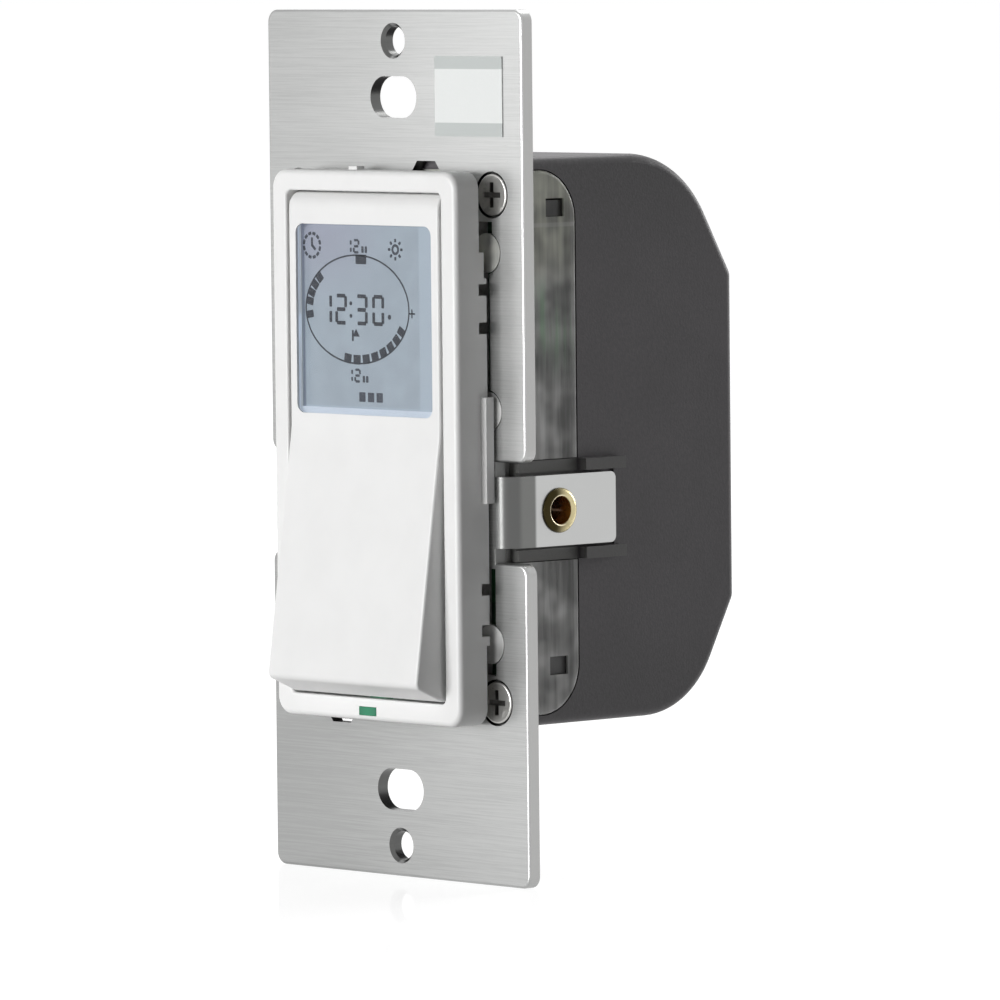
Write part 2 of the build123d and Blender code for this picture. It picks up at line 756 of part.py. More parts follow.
# Bezel frame
with BuildPart() as bezel_frame:
    rounded_block(bezel_width, bezel_height, bezel_corner_radius, (bezel_front, bezel_back))
    front_face = bezel_frame.faces().sort_by(Axis.Y)[0]
    fillet(front_face.edges(), bezel_edge_radius)
    rounded_block(
        bezel_width - 2 * bezel_wall,
        bezel_height - 2 * bezel_wall,
        bezel_corner_radius - bezel_wall,
        (lip_back, bezel_back + overrun),
        mode=Mode.SUBTRACT,
    )
    rounded_block(
        bezel_opening_width,
        bezel_opening_height,
        bezel_opening_radius,
        (bezel_front - overrun, lip_back + overrun),
        z=bezel_opening_rise,
        mode=Mode.SUBTRACT,
    )
    front_face = bezel_frame.faces().filter_by(Axis.Y).sort_by(Axis.Y)[0]
    fillet(front_face.inner_wires()[0].edges(), bezel_opening_edge_radius)
    half_width, half_height = bezel_width / 2, bezel_height / 2
    beyond = half_height + overrun
    rim_steps = (
        (bezel_corner_rim_gap, bezel_corner_rim_height, beyond),
        (bezel_post_rim_gap, bezel_post_rim_height, bezel_corner_rim_height),
        (bezel_lower_rim_gap, -beyond, -bezel_corner_rim_height),
    )
    for rim_gap, low, high in rim_steps:
        raised = (strap_front - rim_gap, bezel_back + overrun)
        block((-half_width - overrun, half_width + overrun), raised, (low, high), Mode.SUBTRACT)
    for side in both_sides:
        wall_ends = (side * (half_width - bezel_wall - overrun), side * (half_width + overrun))
        for height in catch_notch_heights:
            rise = (height - catch_notch_width / 2, height + catch_notch_width / 2)
            cut = (bezel_back - catch_notch_depth, bezel_back + overrun)
            block(wall_ends, cut, rise, Mode.SUBTRACT)
        latch_depth = (strap_front - latch_front_gap, strap_front - latch_back_gap)
        latch_rise = (latch_middle_height - latch_length / 2, latch_middle_height + latch_length / 2)
        latch_ends = (side * (half_width - bezel_wall / 2), side * (half_width + latch_proud))
        block(latch_ends, latch_depth, latch_rise)
    nibs = ((upper_nib_x, 1, bezel_corner_rim_gap), (lower_nib_x, -1, bezel_lower_rim_gap))
    for nib_x, end, rim_gap in nibs:
        nib_back = strap_front - rim_gap
        nib_rise = (end * (half_height - bezel_wall / 2), end * (half_height + nib_height))
        block((nib_x - nib_width / 2, nib_x + nib_width / 2), (nib_back - nib_depth, nib_back), nib_rise)
    guide_half = light_guide_width / 2 + joint_gap
    guide_rise = light_guide_height / 2 + joint_gap
    block(
        (-guide_half, guide_half),
        (bezel_front - overrun, bezel_back + overrun),
        (light_guide_front_height - guide_rise, light_guide_front_height + guide_rise),
        Mode.SUBTRACT,
    )
    guide_step_back = bezel_back + overrun
    guide_step_front = carrier_floor - light_guide_step - seat_gap - light_guide_height
    block(
        (-guide_half, guide_half),
        (guide_step_front, guide_step_back),
        (light_guide_front_height - guide_rise, -half_height + bezel_wall + overrun),
        Mode.SUBTRACT,
    )
save(bezel_frame, "bezel_frame")

# Display carrier
led_height_middle = carrier_inner_bottom + led_height / 2 + light_guide_height / 2
with BuildPart() as display_carrier:
    half_height = carrier_height / 2
    block(
        (-carrier_width / 2, carrier_width / 2),
        (carrier_front, carrier_back),
        (-half_height, half_height),
    )
    carrier_inner = (-carrier_inner_width / 2, carrier_inner_width / 2)
    tray = (carrier_front - overrun, carrier_floor)
    block(carrier_inner, tray, (carrier_inner_bottom, carrier_inner_top), Mode.SUBTRACT)
    neck_half, neck_rise = carrier_neck_width / 2, carrier_neck_height / 2
    block((-neck_half, neck_half), (carrier_back, neck_back), (-neck_rise, neck_rise))
    neck_inner, neck_inner_rise = neck_half - carrier_neck_wall, neck_rise - carrier_neck_wall
    block(
        (-neck_inner, neck_inner),
        (carrier_back, neck_back + overrun),
        (-neck_inner_rise, neck_inner_rise),
        Mode.SUBTRACT,
    )
    through_floor = (carrier_floor - overrun, carrier_back + overrun)
    for index in range(button_count):
        button_x = (index - (button_count - 1) / 2) * button_pitch
        rounded_block(
            button_width + 2 * side_gap,
            button_height + 2 * side_gap,
            button_corner_radius,
            through_floor,
            x=button_x,
            z=button_height_middle,
            mode=Mode.SUBTRACT,
        )
    rod(0, press_height, through_floor, plunger_diameter / 2 + side_gap, Mode.SUBTRACT)
    for side in both_sides:
        hook_half = hook_width / 2 + side_gap
        hook_bottom = press_height - hook_height / 2 - hook_barb - side_gap
        hook_top = press_height + hook_height / 2 + side_gap
        hook_ends = (side * hook_x - hook_half, side * hook_x + hook_half)
        block(hook_ends, through_floor, (hook_bottom, hook_top), Mode.SUBTRACT)
    for strip_z in (lcd_top - connector_inset, lcd_bottom + connector_inset):
        strip_half, strip_rise = connector_length / 2 + seat_gap, connector_width / 2 + seat_gap
        strip_ends = (strip_z - strip_rise, strip_z + strip_rise)
        block((-strip_half, strip_half), through_floor, strip_ends, Mode.SUBTRACT)
    guide_half = light_guide_width / 2 + seat_gap
    guide_top = led_height_middle + light_guide_height / 2 + seat_gap
    guide_bottom = led_height_middle - light_guide_height / 2 - seat_gap
    guide_front = carrier_floor - light_guide_step - seat_gap - light_guide_height
    block((-guide_half, guide_half), through_floor, (guide_bottom, guide_top), Mode.SUBTRACT)
    guide_notch = (guide_front, carrier_floor - light_guide_step + light_guide_height / 2)
    block((-guide_half, guide_half), guide_notch, (-half_height - overrun, guide_top), Mode.SUBTRACT)
    for side in both_sides:
        ear = (side * ear_x - ear_width / 2, side * ear_x + ear_width / 2)
        axle(axis_y, axis_z, ear, ear_radius)
        block(ear, (axis_y, carrier_floor + carrier_floor_thickness / 2), (axis_z - ear_radius, axis_z))
    axle(axis_y, axis_z, carrier_inner, pin_radius, Mode.SUBTRACT)
save(display_carrier, "display_carrier")

# Hinge pin
pin_half = pad_half_width
with BuildPart() as hinge_pin:
    axle(axis_y, axis_z, (-pin_half, pin_half), pin_radius)
save(hinge_pin, "hinge_pin")

# Push pad
with BuildPart() as push_pad:
    with BuildSketch(Plane.YZ) as pad_outline:
        with BuildLine():
            top_arc = CenterArc((axis_y, axis_z), axis_setback, 90, 90)
            Line((bezel_front, axis_z), (bezel_front, pad_flare_start))
            Line((bezel_front, pad_flare_start), (pad_nose, pad_nose_top))
            Line((pad_nose, pad_nose_top), (bezel_front, pad_bottom))
            Line((bezel_front, pad_bottom), (pad_back, pad_bottom))
            Line((pad_back, pad_bottom), (pad_back, axis_z))
            Line((pad_back, axis_z), (axis_y, axis_z))
            Line((axis_y, axis_z), (axis_y, pad_top))
        make_face()
        nose = pad_outline.vertices().sort_by(Axis.X)[0]
        fillet(nose, pad_nose_radius)
        flare = pad_outline.vertices().sort_by_distance((bezel_front, pad_flare_start))[0]
        fillet(flare, pad_flare_blend_radius)
    extrude(amount=pad_half_width, both=True)
    side_faces = push_pad.faces().sort_by(Axis.X)
    front_edges = (side_faces[0].edges() + side_faces[-1].edges()).filter_by(
        lambda edge: edge.center().Y < bezel_front + seat_gap
    )
    fillet(front_edges, pad_edge_radius)
    slope = (pad_nose - bezel_front) / (pad_nose_top - pad_flare_start)
    cavity_top = window_bottom - lens_border - pad_wall
    cavity_nose_z = pad_nose_top + pad_wall / 2
    cavity_nose_y = pad_plate_back + slope * (cavity_nose_z - pad_flare_start)
    cavity_half = pad_half_width - pad_wall
    with BuildSketch(Plane.YZ):
        with BuildLine():
            Polyline(
                (pad_plate_back, cavity_top),
                (cavity_nose_y, cavity_nose_z),
                (bezel_front, pad_bottom + pad_wall),
                (pad_back + overrun, pad_bottom + pad_wall),
                (pad_back + overrun, cavity_top),
                close=True,
            )
        make_face()
    extrude(amount=cavity_half, both=True, mode=Mode.SUBTRACT)
    upper_back = (pad_plate_back, pad_back + overrun)
    clear_top = axis_z - ear_radius - seat_gap
    block((-cavity_half, cavity_half), upper_back, (cavity_top, clear_top), Mode.SUBTRACT)
    window_middle = (window_top + window_bottom) / 2
    rounded_block(
        window_width,
        window_height,
        window_corner_radius,
        (bezel_front - overrun, pad_back + overrun),
        z=window_middle,
        mode=Mode.SUBTRACT,
    )
    rounded_block(
        window_width + 2 * lens_border,
        window_height + 2 * lens_border,
        lens_corner_radius,
        (bezel_front + lens_lip, pad_back + overrun),
        z=window_middle,
        mode=Mode.SUBTRACT,
    )
    axle(axis_y, axis_z, (-lever_inner, lever_inner), ear_radius)
    slot_radius = ear_radius + pad_knuckle_slot_gap
    for side in both_sides:
        ear_slot = (
            side * ear_x - ear_width / 2 - pad_knuckle_slot_gap,
            side * ear_x + ear_width / 2 + pad_knuckle_slot_gap,
        )
        arm_slot = (side * (lever_inner - pad_knuckle_slot_gap), side * (lever_outer + overrun))
        for slot in (ear_slot, arm_slot):
            axle(axis_y, axis_z, slot, slot_radius, Mode.SUBTRACT)
    axle(axis_y, axis_z, (-lever_outer, lever_outer), pin_radius + pin_clearance, Mode.SUBTRACT)
    for side in both_sides:
        rib_ends = (side * pad_rib_x - pad_rib_thickness / 2, side * pad_rib_x + pad_rib_thickness / 2)
        rib_rise = (press_height - pad_rib_height / 2, press_height + pad_rib_height / 2)
        rib_front = pad_plate_back + slope * (rib_rise[0] - pad_flare_start) - pad_plate_thickness / 2
        block(rib_ends, (rib_front, pad_back), rib_rise)
save(push_pad, "push_pad")

# Clear window in the pad
with BuildPart() as pad_window:
    rounded_block(
        window_width + 2 * (lens_border - lens_fit),
        window_height + 2 * (lens_border - lens_fit),
        lens_corner_radius,
        (bezel_front + lens_lip, bezel_front + lens_lip + lens_thickness),
        z=window_middle,
    )
save(pad_window, "pad_window")

# Lever behind the pad
with BuildPart() as pad_lever:
    for side in both_sides:
        arm = (side * lever_inner, side * lever_outer)
        axle(axis_y, axis_z, arm, ear_radius)
        block(arm, (lever_front, lever_back), (lever_bar_bottom, axis_z))
    bar = (lever_bar_bottom, lever_bar_bottom + lever_bar_height)
    block((-lever_outer, lever_outer), (lever_front, lever_back), bar)
    hook_tip = carrier_back + seat_gap + hook_barb_depth
    for side in both_sides:
        stem = (side * hook_x - hook_width / 2, side * hook_x + hook_width / 2)
        stem_rise = (press_height - hook_height / 2, press_height + hook_height / 2)
        barb_rise = (press_height - hook_height / 2 - hook_barb, stem_rise[0])
        block(stem, (lever_back, hook_tip), stem_rise)
        block(stem, (carrier_back + seat_gap, hook_tip), barb_rise)
    axle(axis_y, axis_z, (-lever_outer, lever_outer), pin_radius + pin_clearance, Mode.SUBTRACT)
save(pad_lever, "pad_lever")

# Display panel and its two rubber connectors
with BuildPart() as display_panel:
    block((-lcd_width / 2, lcd_width / 2), (lcd_front, carrier_floor), (lcd_bottom, lcd_top))
save(display_panel, "display_panel")

with BuildPart() as display_connectors:
    for strip_z in (lcd_top - connector_inset, lcd_bottom + connector_inset):
        block(
            (-connector_length / 2, connector_length / 2),
            (carrier_floor, display_board_depth),
            (strip_z - connector_width / 2, strip_z + connector_width / 2),
        )
save(display_connectors, "display_connectors")

# Display board and what it carries
with BuildPart() as display_board:
    board_half, board_rise = display_board_width / 2, display_board_height / 2
    block((-board_half, board_half), (display_board_depth, display_board_back), (-board_rise, board_rise))
save(display_board, "display_board")

with BuildPart() as timer_chip:
    block(
        (-chip_size / 2, chip_size / 2),
        (display_board_back, display_board_back + chip_thickness),
        (chip_height - chip_size / 2, chip_height + chip_size / 2),
    )
save(timer_chip, "timer_chip")

with BuildPart() as backup_cell:
    cell_ends = (display_board_back, display_board_back + cell_thickness)
    rod(0, cell_height, cell_ends, cell_diameter / 2)
save(backup_cell, "backup_cell")

with BuildPart() as indicator_led:
    block(
        (-led_width / 2, led_width / 2),
        (display_board_depth - led_thickness, display_board_depth),
        (led_height_middle - led_height / 2, led_height_middle + led_height / 2),
    )
save(indicator_led, "indicator_led")

# Light guide: from the bezel's lower border back to the light on the board
with BuildPart() as light_guide:
    guide_width = (-light_guide_width / 2, light_guide_width / 2)
    step_back = carrier_floor - light_guide_step
    step_front = step_back - light_guide_height
    front_rise = (
        light_guide_front_height - light_guide_height / 2,
        light_guide_front_height + light_guide_height / 2,
    )
    leg_rise = (
        led_height_middle - light_guide_height / 2,
        led_height_middle + light_guide_height / 2,
    )
    block(guide_width, (bezel_front - light_guide_proud, step_back), front_rise)
    block(guide_width, (step_front, step_back), (front_rise[0], leg_rise[1]))
    leg_end = display_board_depth - led_thickness - seat_gap
    block(guide_width, (step_front, leg_end), leg_rise)
save(light_guide, "light_guide")

# Switches under the buttons and under the pad
with BuildPart() as button_switches:
    for index in range(button_count):
        button_x = (index - (button_count - 1) / 2) * button_pitch
        half = switch_size / 2
        switch_rise = (button_height_middle - half, button_height_middle + half)
        block((button_x - half, button_x + half), (switch_front, display_board_depth), switch_rise)
        bore = (switch_front - overrun, switch_front + switch_bore_depth)
        bore_radius = button_stem_diameter / 2 + pin_clearance
        rod(button_x, button_height_middle, bore, bore_radius, Mode.SUBTRACT)
save(button_switches, "button_switches")

with BuildPart() as pad_switch:
    half = switch_size / 2
    switch_rise = (press_height - half, press_height + half)
    block((-half, half), (switch_front, display_board_depth), switch_rise)
    bore = (switch_front - overrun, switch_front + switch_bore_depth)
    rod(0, press_height, bore, plunger_diameter / 2 + pin_clearance, Mode.SUBTRACT)
save(pad_switch, "pad_switch")

with BuildPart() as pad_plunger:
    plunger_ends = (lever_back + seat_gap, switch_front + button_stem_entry)
    rod(0, press_height, plunger_ends, plunger_diameter / 2)
save(pad_plunger, "pad_plunger")

# Programming buttons behind the pad
for index in range(button_count):
    button_x = (index - (button_count - 1) / 2) * button_pitch
    with BuildPart() as program_button:
        flange_front = carrier_back + seat_gap
        flange_back = flange_front + button_flange_thickness
        rounded_block(
            button_width,
            button_height,
            button_corner_radius,
            (button_front, flange_front),
            x=button_x,
            z=button_height_middle,
        )
        rounded_block(
            button_width + button_flange,
            button_height + 2 * button_flange,
            button_corner_radius,
            (flange_front, flange_back),
            x=button_x,
            z=button_height_middle,
        )
        stem_ends = (flange_back, switch_front + button_stem_entry)
        rod(button_x, button_height_middle, stem_ends, button_stem_diameter / 2)
    save(program_button, f"program_button_{index + 1}")

# Power board and what it carries
with BuildPart() as power_board:
    board_half, board_rise = power_board_width / 2, power_board_end
    block((-board_half, board_half), (power_board_depth, power_board_back), (-board_rise, board_rise))
save(power_board, "power_board")

with BuildPart() as link_board:
    link_outer = display_board_width / 2
    block(
        (link_outer - link_board_thickness, link_outer),
        (display_board_back, power_board_depth),
        (link_board_bottom, link_board_top),
    )
save(link_board, "link_board")

with BuildPart() as relay:
    relay_ends = (power_board_back, power_board_back + relay_depth)
    half_width, half_height = relay_width / 2, relay_height / 2
    block((-half_width, half_width), relay_ends, (-half_height, half_height))
    fillet(relay.edges().filter_by(Axis.Y), relay_edge_radius)
save(relay, "relay")

with BuildPart() as filter_capacitors:
    can_ends = (power_board_back, power_board_back + capacitor_length)
    for side in both_sides:
        rod(side * capacitor_x, capacitor_z, can_ends, capacitor_diameter / 2)
save(filter_capacitors, "filter_capacitors")

with BuildPart() as film_capacitor:
    half_width, half_height = film_capacitor_width / 2, film_capacitor_height / 2
    film_ends = (power_board_back, power_board_back + film_capacitor_depth)
    film_rise = (film_capacitor_z - half_height, film_capacitor_z + half_height)
    block((-half_width, half_width), film_ends, film_rise)
save(film_capacitor, "film_capacitor")

with BuildPart() as choke:
    rod(choke_x, choke_z, (power_board_back, power_board_back + choke_length), choke_diameter / 2)
save(choke, "choke")

with BuildPart() as varistor:
    disc_depth = power_board_back + varistor_lead_length + varistor_diameter / 2
    with Locations((varistor_x, disc_depth, varistor_z)):
        Cylinder(varistor_diameter / 2, varistor_thickness)
    lead = varistor_thickness / 2
    lead_ends = (power_board_back, disc_depth)
    block((varistor_x - lead, varistor_x + lead), lead_ends, (varistor_z - lead, varistor_z + lead))
save(varistor, "varistor")

# Wire terminals
with BuildPart() as terminal_blocks:
    block_front = terminal_block_back - terminal_block_thickness
    for side in both_sides:
        for end in both_sides:
            x, z = side * terminal_x, end * terminal_block_middle_z
            half_width, half_height = terminal_block_width / 2, terminal_block_height / 2
            x_ends = (x - half_width, x + half_width)
            block(x_ends, (block_front, terminal_block_back), (z - half_height, z + half_height))
            post_half = terminal_post_size / 2
            post = (x - post_half, x + post_half)
            block(post, (power_board_back, block_front), (z - post_half, z + post_half))
            wire_z, screw_z = end * terminal_wire_z, end * terminal_screw_z
            wire_bore = (block_front - overrun, terminal_block_back + overrun)
            rod(x, wire_z, wire_bore, terminal_wire_diameter / 2, Mode.SUBTRACT)
            screw_bore = (terminal_block_back - terminal_screw_length, terminal_block_back + overrun)
            rod(x, screw_z, screw_bore, terminal_screw_diameter / 2 + joint_gap, Mode.SUBTRACT)
save(terminal_blocks, "terminal_blocks")

with BuildPart() as terminal_screws:
    head_ends = (terminal_block_back, terminal_block_back + terminal_screw_head_thickness)
    for side in both_sides:
        for end in both_sides:
            x, z = side * terminal_x, end * terminal_screw_z
            rod(x, z, head_ends, terminal_screw_head_diameter / 2)
            shank_ends = (terminal_block_back - terminal_screw_length + seat_gap, terminal_block_back)
            rod(x, z, shank_ends, terminal_screw_diameter / 2)
            slot_half, slot_width = terminal_screw_head_diameter / 2, terminal_slot_width / 2
            slot_ends = (head_ends[1] - terminal_slot_depth, head_ends[1] + overrun)
            block((x - slot_half, x + slot_half), slot_ends, (z - slot_width, z + slot_width), Mode.SUBTRACT)
            block((x - slot_width, x + slot_width), slot_ends, (z - slot_half, z + slot_half), Mode.SUBTRACT)
save(terminal_screws, "terminal_screws")
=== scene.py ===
"""Timer light switch: finishes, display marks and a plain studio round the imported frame."""
import logging
import math
from dataclasses import dataclass, field
from enum import Enum
from typing import Any

import bmesh
import bpy
from mathutils import Matrix, Vector


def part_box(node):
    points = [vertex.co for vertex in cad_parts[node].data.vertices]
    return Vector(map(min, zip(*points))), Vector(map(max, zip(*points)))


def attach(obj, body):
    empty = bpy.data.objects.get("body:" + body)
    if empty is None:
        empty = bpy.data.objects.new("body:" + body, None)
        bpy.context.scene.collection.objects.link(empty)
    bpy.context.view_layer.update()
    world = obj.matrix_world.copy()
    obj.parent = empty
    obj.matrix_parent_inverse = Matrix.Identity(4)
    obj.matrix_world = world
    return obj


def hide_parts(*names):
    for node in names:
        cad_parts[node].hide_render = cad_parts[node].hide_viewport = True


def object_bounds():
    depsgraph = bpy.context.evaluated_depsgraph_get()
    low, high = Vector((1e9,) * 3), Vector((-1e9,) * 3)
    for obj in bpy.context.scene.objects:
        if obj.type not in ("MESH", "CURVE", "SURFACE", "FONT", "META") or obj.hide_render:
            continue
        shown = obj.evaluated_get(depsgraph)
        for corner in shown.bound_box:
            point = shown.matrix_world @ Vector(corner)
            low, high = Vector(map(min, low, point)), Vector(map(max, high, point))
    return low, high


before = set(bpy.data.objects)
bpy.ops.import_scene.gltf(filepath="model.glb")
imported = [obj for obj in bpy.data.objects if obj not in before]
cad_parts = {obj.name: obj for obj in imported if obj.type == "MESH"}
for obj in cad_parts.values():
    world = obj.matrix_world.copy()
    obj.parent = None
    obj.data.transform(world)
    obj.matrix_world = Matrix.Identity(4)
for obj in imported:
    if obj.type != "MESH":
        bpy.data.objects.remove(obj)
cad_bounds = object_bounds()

log = logging.getLogger("switch")
MM = 0.001
MIX_COLOURS = (6, 7)  # the Mix node's inputs for colours
MIX_RESULT = 2  # its output for a colour
Pair = tuple[float, float]
Triple = tuple[float, float, float]
Quad = tuple[float, float, float, float]
Colour = Triple


class Slot(Enum):
    """The record's material slots."""

    STRAP = "strap_metal"
    SCREW = "screw_metal"
    EYELET = "eyelet_brass"
    LABEL = "label_white"
    FACE = "face_white"
    CARRIER = "carrier_white"
    WINDOW = "window_clear"
    LEVER = "lever_nylon"
    PIN = "pin_steel"
    SWITCH = "switch_black"
    BUTTON = "button_grey"
    DISPLAY = "display_glass"
    RUBBER = "connector_rubber"
    BOARD = "board_green"
    CHIP = "chip_black"
    CELL = "cell_steel"
    LIGHT = "light_green"
    SMOKE = "smoke_plastic"
    HOUSING = "housing_black"
    RELAY = "relay_blue"
    CAN = "capacitor_sleeve"
    FILM = "film_yellow"
    CHOKE = "choke_ferrite"
    VARISTOR = "varistor_blue"
    TERMINAL = "terminal_brass"


class Value:
    """One output of a node, used in Python expressions on numbers."""

    def __init__(self, graph: "Graph", socket: bpy.types.NodeSocket) -> None:
        """Keeps the graph and the socket."""
        self.graph = graph
        self.socket = socket

    def _math(self, operation: str, first: Any, second: Any) -> "Value":
        """Adds one Math node."""
        return self.graph.node("ShaderNodeMath", {"operation": operation}, {0: first, 1: second})

    def __add__(self, other: Any) -> "Value":
        """Adds."""
        return self._math("ADD", self, other)

    __radd__ = __add__

    def __mul__(self, other: Any) -> "Value":
        """Multiplies."""
        return self._math("MULTIPLY", self, other)

    __rmul__ = __mul__

    def __sub__(self, other: Any) -> "Value":
        """Takes other away."""
        return self._math("SUBTRACT", self, other)

    def __rsub__(self, other: Any) -> "Value":
        """Is taken away from other."""
        return self._math("SUBTRACT", other, self)

    def __abs__(self) -> "Value":
        """Drops the sign."""
        return self._math("ABSOLUTE", self, 0.0)

    def step(self, low: float, high: float) -> "Value":
        """Rises smoothly from 0 to 1.

        Args:
            low: where the result leaves 0.
            high: where the result reaches 1; it may be less than low for a fall.

        Returns:
            The smooth step.
        """
        if high < low:
            return 1.0 - self.step(high, low)
        inputs = {"Value": self, "From Min": low, "From Max": high}
        return self.graph.node("ShaderNodeMapRange", {"interpolation_type": "SMOOTHSTEP"}, inputs)

    def band(self, low: float, high: float, soft: float) -> "Value":
        """Is 1 between two values and 0 outside them, with soft ends."""
        return self.step(low - soft, low + soft) * self.step(high + soft, high - soft)


class Graph:
    """The node tree of one material, or of the world."""

    def __init__(self, owner: bpy.types.Material | bpy.types.World) -> None:
        """Empties the owner's node tree.

        Args:
            owner: the material or the world.
        """
        self.owner = owner
        owner.use_nodes = True
        self.tree = owner.node_tree
        self.tree.nodes.clear()

    def close(self, kind: str, surface: Value) -> bpy.types.Material | bpy.types.World:
        """Links the surface to the output node.

        Args:
            kind: the output node's type.
            surface: the finished shader.

        Returns:
            The owner of the tree.
        """
        output = self.tree.nodes.new(kind)
        self.tree.links.new(surface.socket, output.inputs["Surface"])
        return self.owner

    def node(
        self, kind: str, settings: dict[str, Any], inputs: dict[str | int, Any], output: str | int = 0
    ) -> Value:
        """Adds one node.

        Args:
            kind: the node's type.
            settings: its settings, set before the sockets.
            inputs: a value or a link for each socket that isn't left as it is.
            output: the socket that the result stands for.

        Returns:
            The output, for use in an expression.
        """
        made = self.tree.nodes.new(kind)
        for key, value in settings.items():
            setattr(made, key, value)
        for key, value in inputs.items():
            if isinstance(value, Value):
                self.tree.links.new(value.socket, made.inputs[key])
            else:
                made.inputs[key].default_value = value
        return Value(self, made.outputs[output])

    def place(self, per_mm: Triple = (1.0, 1.0, 1.0)) -> Value:
        """Gives the point in the piece's own coordinates.

        Args:
            per_mm: how many units the result has for a millimetre along each axis.

        Returns:
            The scaled point.
        """
        point = self.node("ShaderNodeTexCoord", {}, {}, "Object")
        scale = tuple(value / MM for value in per_mm)
        return self.node("ShaderNodeVectorMath", {"operation": "MULTIPLY"}, {0: point, 1: scale})

    def axis(self, name: str) -> Value:
        """Gives one coordinate of the point, in millimetres."""
        return self.node("ShaderNodeSeparateXYZ", {}, {0: self.place()}, name)

    def facing(self, name: str) -> Value:
        """Gives one component of the surface's own direction."""
        normal = self.node("ShaderNodeTexCoord", {}, {}, "Normal")
        return self.node("ShaderNodeSeparateXYZ", {}, {0: normal}, name)

    def noise(self, per_mm: Triple, detail: float = 2.0, rough: float = 0.5) -> Value:
        """Gives a noise from 0 to 1.

        Args:
            per_mm: its blots for a millimetre along each axis.
            detail: its octaves.
            rough: how much the fine octaves count.

        Returns:
            The noise.
        """
        inputs = {"Vector": self.place(per_mm), "Scale": 1.0, "Detail": detail, "Roughness": rough}
        return self.node("ShaderNodeTexNoise", {}, inputs)

    def mix(self, factor: Value, first: Any, second: Any) -> Value:
        """Mixes two colours, each a plain colour or a link.

        Args:
            factor: the share of the second.
            first: the colour where the factor is 0.
            second: the colour where the factor is 1.

        Returns:
            The mixed colour.
        """
        inputs = {0: factor}
        for key, colour in zip(MIX_COLOURS, (first, second)):
            inputs[key] = colour if isinstance(colour, Value) else (*colour, 1.0)
        return self.node("ShaderNodeMix", {"data_type": "RGBA"}, inputs, MIX_RESULT)

    def bump(self, height: Value, depth: float) -> Value:
        """Gives a bumped normal.

        Args:
            height: the relief, from 0 to 1.
            depth: its depth in millimetres.

        Returns:
            The normal.
        """
        return self.node("ShaderNodeBump", {}, {"Height": height, "Distance": depth * MM})


def even(size: float) -> Triple:
    """Gives the blots per millimetre of a noise whose blots are as large on every axis."""
    return (1.0 / size,) * 3


def shade(colour: Colour, share: float) -> Colour:
    """Darkens or lightens a colour by a share."""
    return tuple(value * share for value in colour)


def sheet(shape: bmesh.types.BMesh, width: float, height: float) -> list[bmesh.types.BMVert]:
    """Adds a flat rectangle round the origin.

    Args:
        shape: what it is added to.
        width: its size along X.
        height: its size along Y.

    Returns:
        Its corners.
    """
    verts = bmesh.ops.create_grid(shape, x_segments=1, y_segments=1, size=0.5)["verts"]
    bmesh.ops.scale(shape, vec=(width, height, 1.0), verts=verts)
    return verts


def thicken(shape: bmesh.types.BMesh, thickness: float) -> bmesh.types.BMesh:
    """Gives upright faces a thickness towards the room, and turns millimetres into metres.

    Args:
        shape: the faces, in place.
        thickness: how thick they become, in millimetres.

    Returns:
        The same form in metres.
    """
    made = bmesh.ops.extrude_face_region(shape, geom=shape.faces[:])
    lifted = [item for item in made["geom"] if isinstance(item, bmesh.types.BMVert)]
    bmesh.ops.translate(shape, vec=(0.0, -thickness, 0.0), verts=lifted)
    bmesh.ops.scale(shape, vec=(MM, MM, MM), verts=shape.verts[:])
    return shape


def mesh_of(name: str, shape: bmesh.types.BMesh) -> bpy.types.Mesh:
    """Makes a form a mesh, and frees the form.

    Args:
        name: the mesh's name.
        shape: the form.

    Returns:
        The mesh.
    """
    data = bpy.data.meshes.new(name)
    shape.to_mesh(data)
    shape.free()
    return data


def put(name: str, data: bpy.types.ID) -> bpy.types.Object:
    """Puts a mesh, a camera or a lamp in the scene.

    Args:
        name: the object's name.
        data: what it shows.

    Returns:
        The object.
    """
    made = bpy.data.objects.new(name, data)
    bpy.context.scene.collection.objects.link(made)
    return made


@dataclass(frozen=True)
class Finish:
    """What every finish of the switch shares."""

    name: str
    tint: Colour

    def sockets(self, graph: Graph) -> dict[str, Any]:
        """Gives the shader's sockets."""
        raise NotImplementedError

    def material(self) -> bpy.types.Material:
        """Builds the material.

        Returns:
            The finished material.
        """
        graph = Graph(bpy.data.materials.new(self.name))
        shader = graph.node("ShaderNodeBsdfPrincipled", {}, self.sockets(graph), "BSDF")
        return graph.close("ShaderNodeOutputMaterial", shader)


@dataclass(frozen=True)
class MouldedPlastic(Finish):
    """Injection-moulded plastic with a fine mould texture and faint flow marks."""

    roughness: float = 0.4
    grain: float = 0.22
    relief: float = 0.008
    flow: float = 7.0
    flow_share: float = 0.97
    specular: float = 0.5

    def sockets(self, graph: Graph) -> dict[str, Any]:
        """Gives colour from the flow, and roughness and relief from the grain.

        Args:
            graph: the material's tree.

        Returns:
            A value or a link for each socket that it sets.
        """
        flow = graph.noise(even(self.flow), 3.0)
        grain = graph.noise(even(self.grain), 2.0)
        return {
            "Base Color": graph.mix(flow.step(0.3, 0.7), self.tint, shade(self.tint, self.flow_share)),
            "Roughness": self.roughness + 0.08 * (grain - 0.5) + 0.04 * (flow - 0.5),
            "Normal": graph.bump(grain, self.relief),
            "Specular IOR Level": self.specular,
        }


